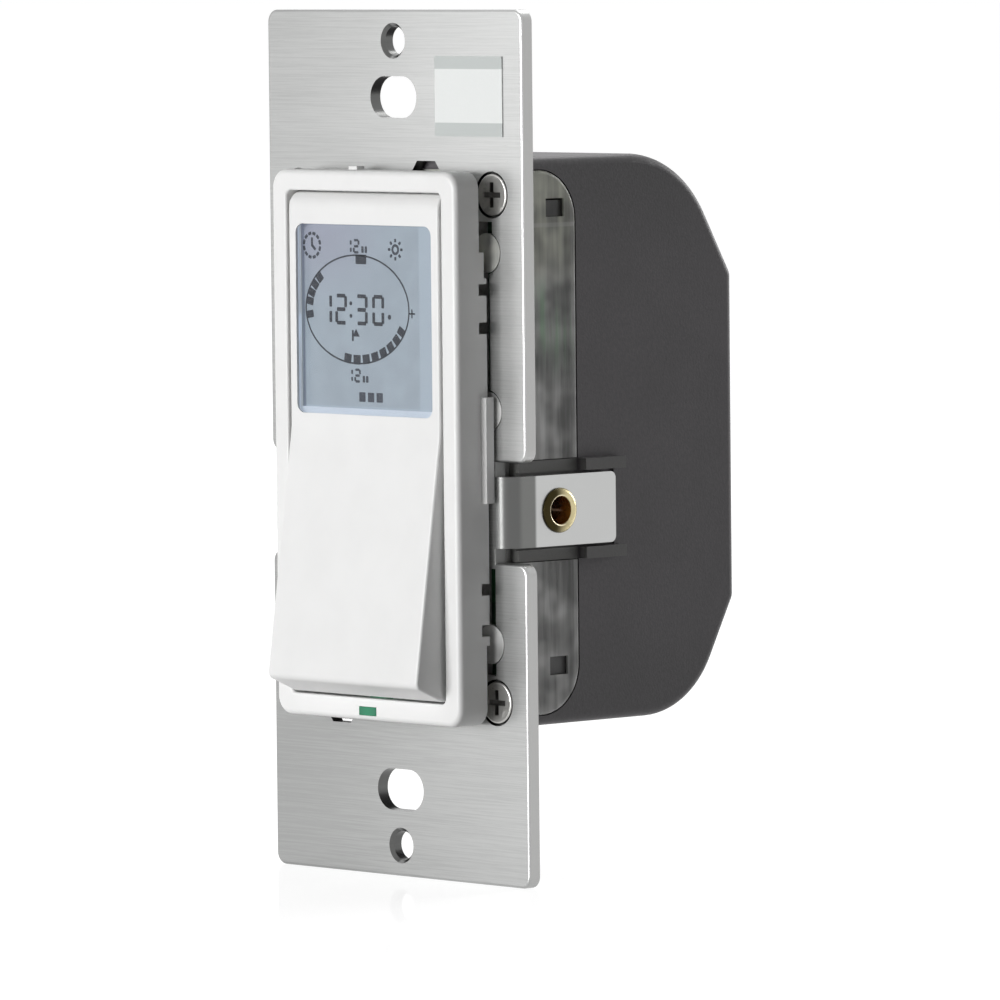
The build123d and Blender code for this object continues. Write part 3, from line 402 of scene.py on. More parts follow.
@dataclass(frozen=True)
class LitPrint(MouldedPlastic):
    """Pale print with a painted glow that lifts the shade cast on it."""

    # Strength of the painted glow.
    glow: float = 0.34

    def sockets(self, graph: Graph) -> dict[str, Any]:
        """Gives the moulded plastic with a faint painted glow of its own colour.

        Args:
            graph: the material's tree.

        Returns:
            A value or a link for each socket that it sets.
        """
        sockets = super().sockets(graph)
        # Painted glow, lifting the shade that the pad's wall casts on the print.
        sockets["Emission Color"] = sockets["Base Color"]
        sockets["Emission Strength"] = self.glow
        return sockets


@dataclass(frozen=True)
class BrushedSheet(Finish):
    """Sheet metal brushed across the strap, with painted shade to the left and low, grey sheared edges, a
    painted dark reflection on the bends, and painted shade where the tab turns back and on the tab's flat.
    """

    edge: Colour = (0.4, 0.4, 0.395)
    # Colour of the painted dark reflection on the outside of the bends.
    bend_reflection: Colour = (0.165, 0.167, 0.162)
    # Colour of the painted shade that dims the lamp's highlight where the tab turns back.
    turn: Colour = (0.12, 0.121, 0.119)
    # Share of the tint in the painted shade on the tab's flat.
    tab_shade_share: float = 0.92
    # Share of the tint in the painted shade to the left and low; the brush lines and clouds also mix towards
    # it.
    dull: float = 0.55
    roughness: float = 0.27
    line: float = 0.14
    run: float = 9.0
    relief: float = 0.004
    bend_end: float = 2.75
    line_share: float = 0.3
    cloud_share: float = 0.2
    left_share: float = 0.4
    low_share: float = 0.35
    left_span: Pair = (22.0, -22.0)
    low_span: Pair = (35.0, -40.0)
    turn_shade_span: Pair = (21.0, 20.4)

    def sockets(self, graph: Graph) -> dict[str, Any]:
        """Gives long fine lines along X, cloudy patches, painted shade to the left and low, a grey edge, a
        painted dark reflection on the bends and painted shade on the tab.

        Args:
            graph: the material's tree.

        Returns:
            A value or a link for each socket that it sets.
        """
        lines = graph.noise((1.0 / self.run, 1.0 / self.line, 1.0 / self.line), 3.0, 0.65)
        clouds = graph.noise((0.06, 0.2, 0.2), 2.0)
        # Painted shade: darker towards the strap's left and its lower end.
        left = graph.axis("X").step(*self.left_span)
        low = graph.axis("Z").step(*self.low_span)
        depth = graph.axis("Y")
        sideways = abs(graph.facing("X"))
        shadow = self.line_share * lines.step(0.35, 0.7) + self.cloud_share * clouds
        shadow = shadow + self.left_share * left + self.low_share * low
        # Painted shade: the tab's flat beyond the bends is a darker copy of the tint.
        tab = shade(self.tint, self.tab_shade_share)
        plain = graph.mix(depth.step(1.0, self.bend_end), self.tint, tab)
        # Mixes towards the darker tint for the brush lines and clouds, and for the painted shade.
        face = graph.mix(shadow * depth.step(1.0, 0.5), plain, shade(self.tint, self.dull))
        sheared = sideways.step(0.8, 0.95) * depth.step(0.1, 0.0)
        # Painted dark reflection on the outside of the bends, out to the tab's flat.
        bend_reflection_mask = sideways.step(0.6, 0.9) * depth.step(-0.1, 0.7)
        bend_reflection_mask = bend_reflection_mask * depth.step(self.bend_end + 0.2, self.bend_end - 0.3)
        # Painted shade over the lamp's highlight where the tab turns back from the strap.
        turn = sideways.step(0.08, 0.25) * abs(graph.axis("X")).step(*self.turn_shade_span) * depth.step(1.2, 0.6)
        face = graph.mix(turn, graph.mix(sheared, face, self.edge), self.turn)
        return {
            "Base Color": graph.mix(bend_reflection_mask, face, self.bend_reflection),
            "Metallic": 1.0,
            "Roughness": self.roughness + 0.14 * (lines - 0.5) + 0.1 * clouds,
            "Normal": graph.bump(lines, self.relief),
        }


@dataclass(frozen=True)
class TurnedMetal(Finish):
    """Plated or solid metal with a fine wear and a few dull spots."""

    roughness: float = 0.28
    wear: float = 0.9
    wear_share: float = 0.72
    relief: float = 0.006

    def sockets(self, graph: Graph) -> dict[str, Any]:
        """Gives worn patches in colour and roughness, and a slight relief.

        Args:
            graph: the material's tree.

        Returns:
            A value or a link for each socket that it sets.
        """
        wear = graph.noise(even(self.wear), 4.0, 0.6)
        spots = wear.step(0.52, 0.68)
        return {
            "Base Color": graph.mix(spots, self.tint, shade(self.tint, self.wear_share)),
            "Metallic": 1.0,
            "Roughness": self.roughness + 0.2 * spots,
            "Normal": graph.bump(wear, self.relief),
        }


@dataclass(frozen=True)
class RolledBrass(TurnedMetal):
    """Brass with painted shade on the side towards the room and deep in the bore, a painted highlight on its
    lip and a painted amber glint in the bore.
    """

    # dark is painted shade on the side towards the room, bore painted shade deep in the hole, glow a painted
    # amber glint there, and lip a painted highlight.
    dark: Colour = (0.035, 0.028, 0.011)
    bore: Colour = (0.25, 0.08, 0.02)
    glow: Colour = (0.8, 0.35, 0.06)
    lip: Colour = (0.9, 0.82, 0.6)
    mouth: float = 1.66

    def sockets(self, graph: Graph) -> dict[str, Any]:
        """Gives the worn metal with painted shade, a painted highlight and a painted glint, laid out round
        the eyelet's own axis.

        Args:
            graph: the material's tree.

        Returns:
            A value or a link for each socket that it sets.
        """
        sockets = super().sockets(graph)
        low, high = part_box("side_eyelets")
        across = graph.axis("Y") - (low.y + high.y) / 2 / MM
        up = graph.axis("Z") - (low.z + high.z) / 2 / MM
        away = graph.node("ShaderNodeMath", {"operation": "SQRT"}, {0: across * across + up * up})
        # Painted shade on the flange's side towards the room, and a painted highlight along the lip.
        flange = graph.mix(across.step(1.3, -1.0), sockets["Base Color"], self.dark)
        rolled = away.band(self.mouth + 0.02, self.mouth + 0.2, 0.05) * across.step(1.0, -0.2)
        flange = graph.mix(rolled, flange, self.lip)
        # Painted shade deep in the bore, with a painted amber glint on one side.
        inside = graph.mix(across.step(0.2, 1.5) * up.step(1.2, -0.8), self.bore, self.glow)
        deep = away.step(self.mouth + 0.03, self.mouth - 0.01)
        sockets["Base Color"] = graph.mix(deep, flange, inside)
        sockets["Metallic"] = 1.0 - 0.7 * deep
        return sockets


@dataclass(frozen=True)
class RecessedHead(TurnedMetal):
    """A plated screw with painted shade in its cross recess and round its rim."""

    recess_shade: Colour = (0.09, 0.088, 0.085)
    head_front: float = -1.6

    def sockets(self, graph: Graph) -> dict[str, Any]:
        """Gives the worn metal, with painted shade a little way below the head's front.

        Args:
            graph: the material's tree.

        Returns:
            A value or a link for each socket that it sets.
        """
        sockets = super().sockets(graph)
        # Painted shade: everything a little way behind the head's front is darkened.
        sunk = graph.axis("Y").step(self.head_front + 0.08, self.head_front + 0.3)
        sockets["Base Color"] = graph.mix(sunk * 0.85, sockets["Base Color"], self.recess_shade)
        return sockets


@dataclass(frozen=True)
class SmokePlastic(Finish):
    """Smoke-coloured clear plastic, with soft clouds, moulded streaks, a painted shadow band and painted
    highlights on its rim, front edge and ledge.
    """

    # light is the colour of the paler clouds and of the painted highlights.
    light: Colour = (0.86, 0.86, 0.85)
    olive: Colour = (0.76, 0.78, 0.64)
    green: Colour = (0.3, 0.52, 0.32)
    pocket: Colour = (0.03, 0.03, 0.03)
    roughness: float = 0.35
    cloud: float = 6.0
    clear: float = 0.8
    dense: float = 0.95
    rim: Pair = (9.75, 10.45)
    shadow: Pair = (8.6, 9.5)
    board: Pair = (9.5, 19.0)
    pocket_floor: float = 18.45
    pocket_depths: Pair = (5.7, 8.7)
    pocket_middle: float = 1.15
    pocket_heights: Pair = (26.2, 28.5)
    ledge: Pair = (26.2, 26.7)
    relief: float = 0.03

    def sockets(self, graph: Graph) -> dict[str, Any]:
        """Gives clouds and streaks, an olive cast at the top, the board's green, a painted shadow band,
        painted highlights on the rim, front edge and ledge, and the dark pocket.

        Args:
            graph: the material's tree.

        Returns:
            A value or a link for each socket that it sets.
        """
        height = graph.axis("Z")
        depth = graph.axis("Y")
        cloud = graph.noise(even(self.cloud), 2.0, 0.5).step(0.38, 0.66)
        streak = graph.noise((0.9, 0.9, 0.07), 2.0).step(0.3, 0.7)
        upper = height.step(17.0, 24.0) * 0.8
        lit = graph.mix(upper, self.light, self.olive)
        behind = height.band(*self.board, 2.5) * depth.step(1.0, 3.0) * streak
        lit = graph.mix(behind * 0.8, lit, self.green)
        ground = graph.mix(0.6 * cloud + 0.4 * streak, self.tint, lit)
        # Painted highlight along the rear rim.
        rim = depth.band(*self.rim, 0.12) * 0.25
        # Painted shadow band just before the rim, in the pocket's dark colour.
        ground = graph.mix(depth.band(*self.shadow, 0.5) * 0.5, ground, self.pocket)
        # Painted highlights along the front edge and on the ledge.
        front = depth.step(0.9, 0.2) * 0.3
        ledge = height.band(*self.ledge, 0.1) * 0.3
        ground = graph.mix(rim + front + ledge, ground, self.light)
        sunk = abs(graph.axis("X")).step(self.pocket_floor + 0.05, self.pocket_floor - 0.05)
        sunk = sunk * depth.band(*self.pocket_depths, 0.05)
        sunk = sunk * abs(height - self.pocket_middle).band(*self.pocket_heights, 0.05)
        return {
            "Base Color": graph.mix(sunk * 0.9, ground, self.pocket),
            "Roughness": self.roughness + 0.15 * (streak - 0.5),
            "Alpha": self.clear + (self.dense - self.clear) * cloud,
            "Normal": graph.bump(streak, self.relief),
        }


@dataclass(frozen=True)
class ClearWindow(Finish):
    """A clear moulded window with a faint haze."""

    alpha: float = 0.02
    haze: float = 0.02
    roughness: float = 0.05

    def sockets(self, graph: Graph) -> dict[str, Any]:
        """Gives a haze that varies a little over the window.

        Args:
            graph: the material's tree.

        Returns:
            A value or a link for each socket that it sets.
        """
        haze = graph.noise(even(5.0), 3.0)
        return {
            "Base Color": graph.mix(haze, self.tint, shade(self.tint, 0.9)),
            "Roughness": self.roughness + 0.06 * haze,
            "Alpha": self.alpha + self.haze * haze,
        }


@dataclass(frozen=True)
class DisplayGlass(Finish):
    """Display glass with a painted glow, a painted shade line at its left and paler bands at right and
    bottom.
    """

    upper: Colour = (0.19, 0.205, 0.254)
    rim: Colour = (0.24, 0.285, 0.335)
    line: Colour = (0.12, 0.14, 0.2)
    roughness: float = 0.16
    # Strength of the painted glow that lifts the shade in the display's recess.
    glow: float = 0.55
    # left and line_width place the painted shade line along the glass's left edge.
    left: float = -11.85
    line_width: float = 0.3
    right: float = 8.7
    bottom: float = 4.6
    relief: float = 0.003

    def sockets(self, graph: Graph) -> dict[str, Any]:
        """Gives the bands, a painted shade line and a painted glow by the place on the glass, over a fine
        cell grain.

        Args:
            graph: the material's tree.

        Returns:
            A value or a link for each socket that it sets.
        """
        across = graph.axis("X")
        height = graph.axis("Z")
        cells = graph.noise(even(0.35), 2.0)
        blots = graph.noise(even(4.0), 2.0)
        ground = graph.mix(blots.step(0.3, 0.7), self.tint, shade(self.tint, 0.9))
        ground = graph.mix(height.step(15.0, 26.0) * across.step(6.0, -9.0), ground, self.upper)
        ground = graph.mix(across.step(self.right - 0.2, self.right + 0.2) * 0.7, ground, self.rim)
        ground = graph.mix(height.step(self.bottom + 0.2, self.bottom - 0.2) * 0.8, ground, self.rim)
        # Painted shade: a dark line along the glass's left edge, under the window's edge.
        dark = across.band(self.left - self.line_width, self.left, 0.08)
        return {
            "Base Color": graph.mix(dark * 0.7, ground, self.line),
            # Painted glow in the ground's colour, lifting the shade in the display's recess.
            "Emission Color": graph.mix(dark * 0.7, ground, self.line),
            "Emission Strength": self.glow,
            "Roughness": self.roughness + 0.08 * cells,
            "Normal": graph.bump(cells, self.relief),
        }


@dataclass(frozen=True)
class PaperLabel(Finish):
    """A printed label left bare, with a grey strip along its top and its bottom."""

    strip: Colour = (0.5, 0.53, 0.52)
    top: float = 45.1
    bottom: float = 38.7
    roughness: float = 0.5
    relief: float = 0.004

    def sockets(self, graph: Graph) -> dict[str, Any]:
        """Gives the white field between the strips, and a paper tooth.

        Args:
            graph: the material's tree.

        Returns:
            A value or a link for each socket that it sets.
        """
        tooth = graph.noise(even(0.3), 3.0)
        white = graph.axis("Z").band(self.bottom, self.top, 0.06)
        paper = graph.mix(tooth, self.tint, shade(self.tint, 0.96))
        return {
            "Base Color": graph.mix(white, self.strip, paper),
            "Roughness": self.roughness + 0.1 * (tooth - 0.5),
            "Normal": graph.bump(tooth, self.relief),
        }


@dataclass(frozen=True)
class CircuitBoard(Finish):
    """Green solder mask over paler traces, with tinned pads."""

    trace: Colour = (0.06, 0.26, 0.10)
    pad: Colour = (0.55, 0.53, 0.48)
    roughness: float = 0.32
    relief: float = 0.03

    def sockets(self, graph: Graph) -> dict[str, Any]:
        """Gives traces that run along the board and small round pads.

        Args:
            graph: the material's tree.

        Returns:
            A value or a link for each socket that it sets.
        """
        run = graph.noise((0.25, 0.25, 0.08), 1.0)
        lanes = graph.node(
            "ShaderNodeTexWave",
            {"bands_direction": "X"},
            {"Vector": graph.place((0.16, 0.16, 0.16)), "Scale": 1.0, "Distortion": 3.0, "Detail": 0.0},
        )
        dots = graph.node(
            "ShaderNodeTexVoronoi", {}, {"Vector": graph.place(even(2.4)), "Scale": 1.0, "Randomness": 0.35}
        )
        pad = dots.step(0.2, 0.14)
        mask = lanes.step(0.62, 0.7) * run.step(0.35, 0.45)
        return {
            "Base Color": graph.mix(pad, graph.mix(mask, self.tint, self.trace), self.pad),
            "Roughness": self.roughness + 0.1 * mask,
            "Normal": graph.bump(mask + pad, self.relief),
        }


@dataclass(frozen=True)
class ShrinkSleeve(Finish):
    """The sleeve of a can or coil, with a paler stripe down one side."""

    stripe: Colour = (0.45, 0.45, 0.45)
    width: float = 0.9
    roughness: float = 0.3
    relief: float = 0.03

    def sockets(self, graph: Graph) -> dict[str, Any]:
        """Gives the stripe by the way the sleeve faces, and shallow wrinkles.

        Args:
            graph: the material's tree.

        Returns:
            A value or a link for each socket that it sets.
        """
        stripe = graph.facing("Z").step(self.width, self.width + 0.04)
        wrinkle = graph.noise((0.3, 2.2, 0.3), 2.0)
        return {
            "Base Color": graph.mix(stripe, self.tint, self.stripe),
            "Roughness": self.roughness + 0.12 * wrinkle,
            "Normal": graph.bump(wrinkle, self.relief),
        }


@dataclass(frozen=True)
class LightPipe(Finish):
    """Green clear plastic that a small lamp glows through."""

    glow: Colour = (0.0, 0.25, 0.11)
    strength: float = 0.35
    roughness: float = 0.2

    def sockets(self, graph: Graph) -> dict[str, Any]:
        """Gives a glow that is stronger in the middle of the pipe.

        Args:
            graph: the material's tree.

        Returns:
            A value or a link for each socket that it sets.
        """
        middle = abs(graph.axis("X")).step(1.7, 0.2)
        swirl = graph.noise(even(0.8), 2.0)
        return {
            "Base Color": graph.mix(swirl, self.tint, shade(self.tint, 0.8)),
            "Roughness": self.roughness + 0.1 * swirl,
            "Emission Color": graph.mix(middle, shade(self.glow, 0.5), self.glow),
            "Emission Strength": self.strength,
        }


@dataclass(frozen=True)
class HousingPlastic(MouldedPlastic):
    """Dark speckled housing plastic, with painted shade near its ends and painted light on the seats of the
    tabs and the ribs.
    """

    # Colour of the painted light on the tabs' seats and the ribs.
    seat_light: Colour = (0.12, 0.12, 0.115)
    seat_back: float = 10.7
    seat_heights: Pair = (-13.8, -1.3)
    rib: float = 19.0
    speckle: float = 0.6
    speckle_share: float = 0.35
    # Heights over which the painted shade on the side faces rises towards the ends.
    ends: Pair = (18.0, 33.0)
    end_shade_share: float = 0.65
    dark_share: float = 0.4

    def sockets(self, graph: Graph) -> dict[str, Any]:
        """Gives the moulded plastic, speckled, with painted shade near its ends and painted light on the
        seats and ribs.

        Args:
            graph: the material's tree.

        Returns:
            A value or a link for each socket that it sets.
        """
        sockets = super().sockets(graph)
        # Painted light on the tabs' seats and the ribs' faces.
        front = graph.axis("Y").step(self.seat_back, self.seat_back - 0.3)
        front = front * graph.axis("Z").band(*self.seat_heights, 0.1)
        rib = abs(graph.axis("X")).step(self.rib - 0.2, self.rib + 0.2) * 0.6
        pale = graph.node("ShaderNodeMath", {"operation": "MAXIMUM"}, {0: front, 1: rib})
        speckle = graph.noise(even(self.speckle), 3.0, 0.7).step(0.3, 0.7)
        # Painted shade on the side faces near the top and bottom ends; the speckle is the plastic's own.
        ends = abs(graph.axis("Z")).step(*self.ends) * abs(graph.facing("X")).step(0.5, 0.9)
        dark = shade(self.tint, self.dark_share)
        ground = graph.mix(self.speckle_share * speckle + self.end_shade_share * ends, sockets["Base Color"], dark)
        sockets["Base Color"] = graph.mix(pale, ground, self.seat_light)
        return sockets


WHITE = (0.85, 0.85, 0.845)
FINISHES: dict[Slot, Finish] = {
    Slot.STRAP: BrushedSheet("brushed strap", (0.525, 0.53, 0.525)),
    Slot.SCREW: TurnedMetal("plated screw", (0.42, 0.415, 0.40), roughness=0.3, wear=0.5, wear_share=0.5),
    Slot.EYELET: RolledBrass("brass eyelet", (0.55, 0.48, 0.28), roughness=0.25, wear=1.6, wear_share=0.75),
    Slot.LABEL: PaperLabel("bare label", (0.79, 0.81, 0.8)),
    Slot.FACE: MouldedPlastic("white face plastic", WHITE, roughness=0.38),
    Slot.CARRIER: MouldedPlastic("white carrier plastic", (0.76, 0.76, 0.74), roughness=0.45),
    Slot.WINDOW: ClearWindow("clear window", (0.75, 0.8, 0.86)),
    Slot.LEVER: MouldedPlastic(
        "natural nylon", (0.70, 0.69, 0.64), roughness=0.42, flow=3.0, flow_share=0.93
    ),
    Slot.PIN: TurnedMetal("steel pin", (0.58, 0.58, 0.58), roughness=0.2),
    Slot.SWITCH: MouldedPlastic("black switch plastic", (0.02, 0.02, 0.022), roughness=0.35),
    Slot.BUTTON: MouldedPlastic("grey button plastic", (0.30, 0.31, 0.33), roughness=0.45),
    Slot.DISPLAY: DisplayGlass("display glass", (0.205, 0.245, 0.285)),
    Slot.RUBBER: MouldedPlastic(
        "striped rubber", (0.09, 0.08, 0.08), roughness=0.7, grain=0.1, relief=0.03
    ),
    Slot.BOARD: CircuitBoard("circuit board", (0.02, 0.12, 0.05)),
    Slot.CHIP: MouldedPlastic("chip resin", (0.025, 0.025, 0.027), roughness=0.55, grain=0.08),
    Slot.CELL: TurnedMetal("cell steel", (0.64, 0.64, 0.64), roughness=0.3, wear=2.0),
    Slot.LIGHT: LightPipe("green light pipe", (0.01, 0.14, 0.07)),
    Slot.SMOKE: SmokePlastic("smoke plastic", (0.165, 0.165, 0.16)),
    Slot.HOUSING: HousingPlastic(
        "black housing plastic", (0.076, 0.07, 0.076),
        roughness=0.5, grain=0.3, relief=0.02, flow_share=0.8,
    ),
    Slot.RELAY: MouldedPlastic("relay plastic", (0.03, 0.09, 0.32), roughness=0.4),
    Slot.CAN: ShrinkSleeve("can sleeve", (0.02, 0.025, 0.06)),
    Slot.FILM: MouldedPlastic("yellow resin", (0.62, 0.40, 0.05), roughness=0.42, grain=0.5),
    Slot.CHOKE: ShrinkSleeve("choke sleeve", (0.05, 0.05, 0.052), stripe=(0.12, 0.12, 0.12)),
    Slot.VARISTOR: MouldedPlastic(
        "blue resin", (0.03, 0.13, 0.38), roughness=0.3, grain=0.8, relief=0.03
    ),
    Slot.TERMINAL: TurnedMetal("terminal brass", (0.62, 0.47, 0.22), roughness=0.3, wear=1.4),
}


class Wardrobe:
    """Builds each finish once and puts it on nodes and pieces."""

    def __init__(self) -> None:
        """Starts with no material built."""
        self.built: dict[str, bpy.types.Material] = {}

    def material(self, finish: Finish) -> bpy.types.Material:
        """Gives a finish's material, built the first time.

        Args:
            finish: the finish.

        Returns:
            Its material.
        """
        if finish.name not in self.built:
            self.built[finish.name] = finish.material()
        return self.built[finish.name]

    def dress(self, slot: Slot, *nodes: str, finish: Finish | None = None) -> None:
        """Puts a finish on CAD nodes.

        Args:
            slot: the slot whose finish they take.
            nodes: the nodes' names.
            finish: a closer finish of the same stuff, in the place of the slot's own.
        """
        material = self.material(finish or FINISHES[slot])
        for name in nodes:
            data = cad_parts[name].data
            if not data.materials:
                data.materials.append(material)
            for index in range(len(data.materials)):
                data.materials[index] = material
            log.info("%s: %s", name, material.name)

    def piece(
        self, name: str, shape: bmesh.types.BMesh, finish: Finish, body: str, smooth: bool = False
    ) -> bpy.types.Object:
        """Makes one new piece of the scene.

        Args:
            name: the piece's name.
            shape: its form, in place; it is freed.
            finish: what it is made of.
            body: the body that it rides on.
            smooth: whether its faces are shaded as one curve.

        Returns:
            The piece's object.
        """
        bmesh.ops.recalc_face_normals(shape, faces=shape.faces[:])
        for face in shape.faces:
            face.smooth = smooth
        data = mesh_of(name, shape)
        data.materials.append(self.material(finish))
        made = put(name, data)
        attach(made, body)
        log.info("%s: %d faces on %s", name, len(data.polygons), body)
        return made


@dataclass(frozen=True)
class DisplayInk(Finish):
    """The dark segments of the display, a little uneven as liquid crystal is."""

    cloud_share: float = 2.2
    roughness: float = 0.4
    specular: float = 0.1

    def sockets(self, graph: Graph) -> dict[str, Any]:
        """Gives a slightly clouded dark grey.

        Args:
            graph: the material's tree.

        Returns:
            A value or a link for each socket that it sets.
        """
        cloud = graph.noise(even(0.9), 2.0)
        return {
            "Base Color": graph.mix(cloud, self.tint, shade(self.tint, self.cloud_share)),
            "Roughness": self.roughness + 0.2 * cloud,
            "Specular IOR Level": self.specular,
        }


@dataclass
class Marks:
    """Thin marks on the display, drawn in millimetres on its front."""

    depth: float
    thickness: float = 0.02
    corner: float = 0.07
    corner_share: float = 0.3
    ring_sides: int = 96
    shape: bmesh.types.BMesh = field(default_factory=bmesh.new)

    def _put(self, verts: list[bmesh.types.BMVert], x: float, z: float, turn: float = 0.0) -> None:
        """Stands flat points up against the glass, turned in degrees round their own middle."""
        stand = Matrix.Rotation(math.radians(90.0), 4, "X") @ Matrix.Rotation(math.radians(turn), 4, "Z")
        bmesh.ops.transform(self.shape, matrix=Matrix.Translation((x, self.depth, z)) @ stand, verts=verts)

    def _oval(self, half_width: float, half_height: float, sides: int) -> list[bmesh.types.BMVert]:
        """Adds a flat filled oval round the origin.

        Args:
            half_width: half its width.
            half_height: half its height.
            sides: how many sides it has.

        Returns:
            Its corners.
        """
        verts = bmesh.ops.create_circle(self.shape, cap_ends=True, segments=sides, radius=1.0)["verts"]
        bmesh.ops.scale(self.shape, vec=(half_width, half_height, 1.0), verts=verts)
        return verts

    def bar(self, x: float, z: float, width: float, height: float, turn: float = 0.0) -> None:
        """Draws a bar with small cut corners.

        Args:
            x: its middle across the display.
            z: the height of its middle.
            width: its width before it is turned.
            height: its height before it is turned.
            turn: its turn in degrees.
        """
        verts = sheet(self.shape, width, height)
        cut = min(self.corner, self.corner_share * min(width, height))
        made = bmesh.ops.bevel(
            self.shape, geom=verts, offset=cut, affect="VERTICES", segments=1, profile=0.5, material=-1
        )
        self._put(made["verts"], x, z, turn)

    def disc(self, x: float, z: float, half_width: float, half_height: float, sides: int = 16) -> None:
        """Draws a filled oval with that many sides."""
        self._put(self._oval(half_width, half_height, sides), x, z)

    def ring(self, x: float, z: float, half_width: float, half_height: float, line: float) -> None:
        """Draws an oval line.

        Args:
            x: its middle across the display.
            z: the height of its middle.
            half_width: half its outer width.
            half_height: half its outer height.
            line: how wide the line is.
        """
        verts = self._oval(half_width, half_height, self.ring_sides)
        middle = verts[0].link_faces[0]
        bmesh.ops.inset_region(
            self.shape, faces=[middle], thickness=line, use_boundary=True, use_even_offset=True
        )
        both = list(dict.fromkeys([*verts, *middle.verts]))
        bmesh.ops.delete(self.shape, geom=[middle], context="FACES_ONLY")
        self._put(both, x, z)

    def solid(self) -> bmesh.types.BMesh:
        """Gives the finished form, in metres."""
        return thicken(self.shape, self.thickness)


@dataclass
class Eyelets:
    """The two rolled eyelets in the side tabs.

    A point of the lip or the rim is given by its place from the flange's front, and from the bore or the
    flange's edge.
    """

    bore: float = 1.65
    lip: tuple[Pair, ...] = ((-0.32, 0.0), (-0.12, 0.06), (-0.02, 0.2), (0.0, 0.42))
    rim: tuple[Pair, ...] = ((-0.05, -0.38), (-0.18, -0.13))
    barrel: float = 2.0
    flange: float = 2.7
    tail: float = 2.5
    grip: float = 2.7
    flange_thickness: float = 0.5
    tail_thickness: float = 0.5
    edge: float = 0.15
    tail_round: float = 0.2
    steps: int = 48

    def profile(self, face: float) -> list[Pair]:
        """Gives the section of one eyelet.

        Args:
            face: how far from the middle its flange's front lies.

        Returns:
            Distances from the middle and from the eyelet's own axis.
        """
        tab = face - self.flange_thickness
        back = tab - self.grip
        end = back - self.tail_thickness
        return [
            (end, self.bore),
            *((face + along, self.bore + out) for along, out in self.lip),
            *((face + along, self.flange + out) for along, out in self.rim),
            (tab + self.edge, self.flange),
            (tab, self.flange),
            (tab, self.barrel),
            (back, self.barrel),
            (back, self.tail),
            (end, self.tail - self.tail_round),
        ]

    def build(self, wardrobe: Wardrobe) -> None:
        """Spins the section round each eyelet's axis in the place of the plain ones.

        Args:
            wardrobe: what the finishes come from.
        """
        low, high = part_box("side_eyelets")
        face = high.x / MM
        centre = ((low + high) / 2) / MM
        shape = bmesh.new()
        for side in (1.0, -1.0):
            verts = [
                shape.verts.new((side * x, centre.y, centre.z + radius)) for x, radius in self.profile(face)
            ]
            ring = [shape.edges.new((verts[i - 1], verts[i])) for i in range(len(verts))]
            bmesh.ops.spin(
                shape, geom=verts + ring, cent=(0.0, centre.y, centre.z), axis=(1.0, 0.0, 0.0),
                angle=math.tau, steps=self.steps, use_merge=True,
            )
        bmesh.ops.remove_doubles(shape, verts=shape.verts[:], dist=0.001)
        bmesh.ops.scale(shape, vec=(MM, MM, MM), verts=shape.verts[:])
        finish = FINISHES[Slot.EYELET]
        made = wardrobe.piece("rolled_eyelets", shape, finish, "chassis", smooth=True)
        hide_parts("side_eyelets")


@dataclass
class WindowBorder:
    """The pale printed border on the back of the pad's window, its opening shifted and raised a little."""

    width: float = 1.05
    shift: float = -0.2
    rise: float = 0.4
    thickness: float = 0.03
    finish: Finish = LitPrint("pale border print", (0.56, 0.61, 0.67), roughness=0.5)

    def build(self, wardrobe: Wardrobe) -> None:
        """Lays a thin frame against the window's back, along its edge.

        Args:
            wardrobe: what the finishes come from.
        """
        low, high = (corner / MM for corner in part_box("pad_window"))
        shape = bmesh.new()
        opening = sheet(shape, high.x - low.x, high.z - low.z)[0].link_faces[0]
        bmesh.ops.inset_region(shape, faces=[opening], thickness=self.width, use_boundary=True)
        bmesh.ops.translate(shape, vec=(self.shift, self.rise, 0.0), verts=list(opening.verts))
        bmesh.ops.delete(shape, geom=[opening], context="FACES_ONLY")
        stand = Matrix.Rotation(math.radians(90.0), 4, "X")
        middle = Vector(((low.x + high.x) / 2, high.y + self.thickness, (low.z + high.z) / 2))
        bmesh.ops.transform(shape, matrix=Matrix.Translation(middle) @ stand, verts=shape.verts[:])
        thicken(shape, self.thickness)
        wardrobe.piece("window_border", shape, self.finish, "pad")


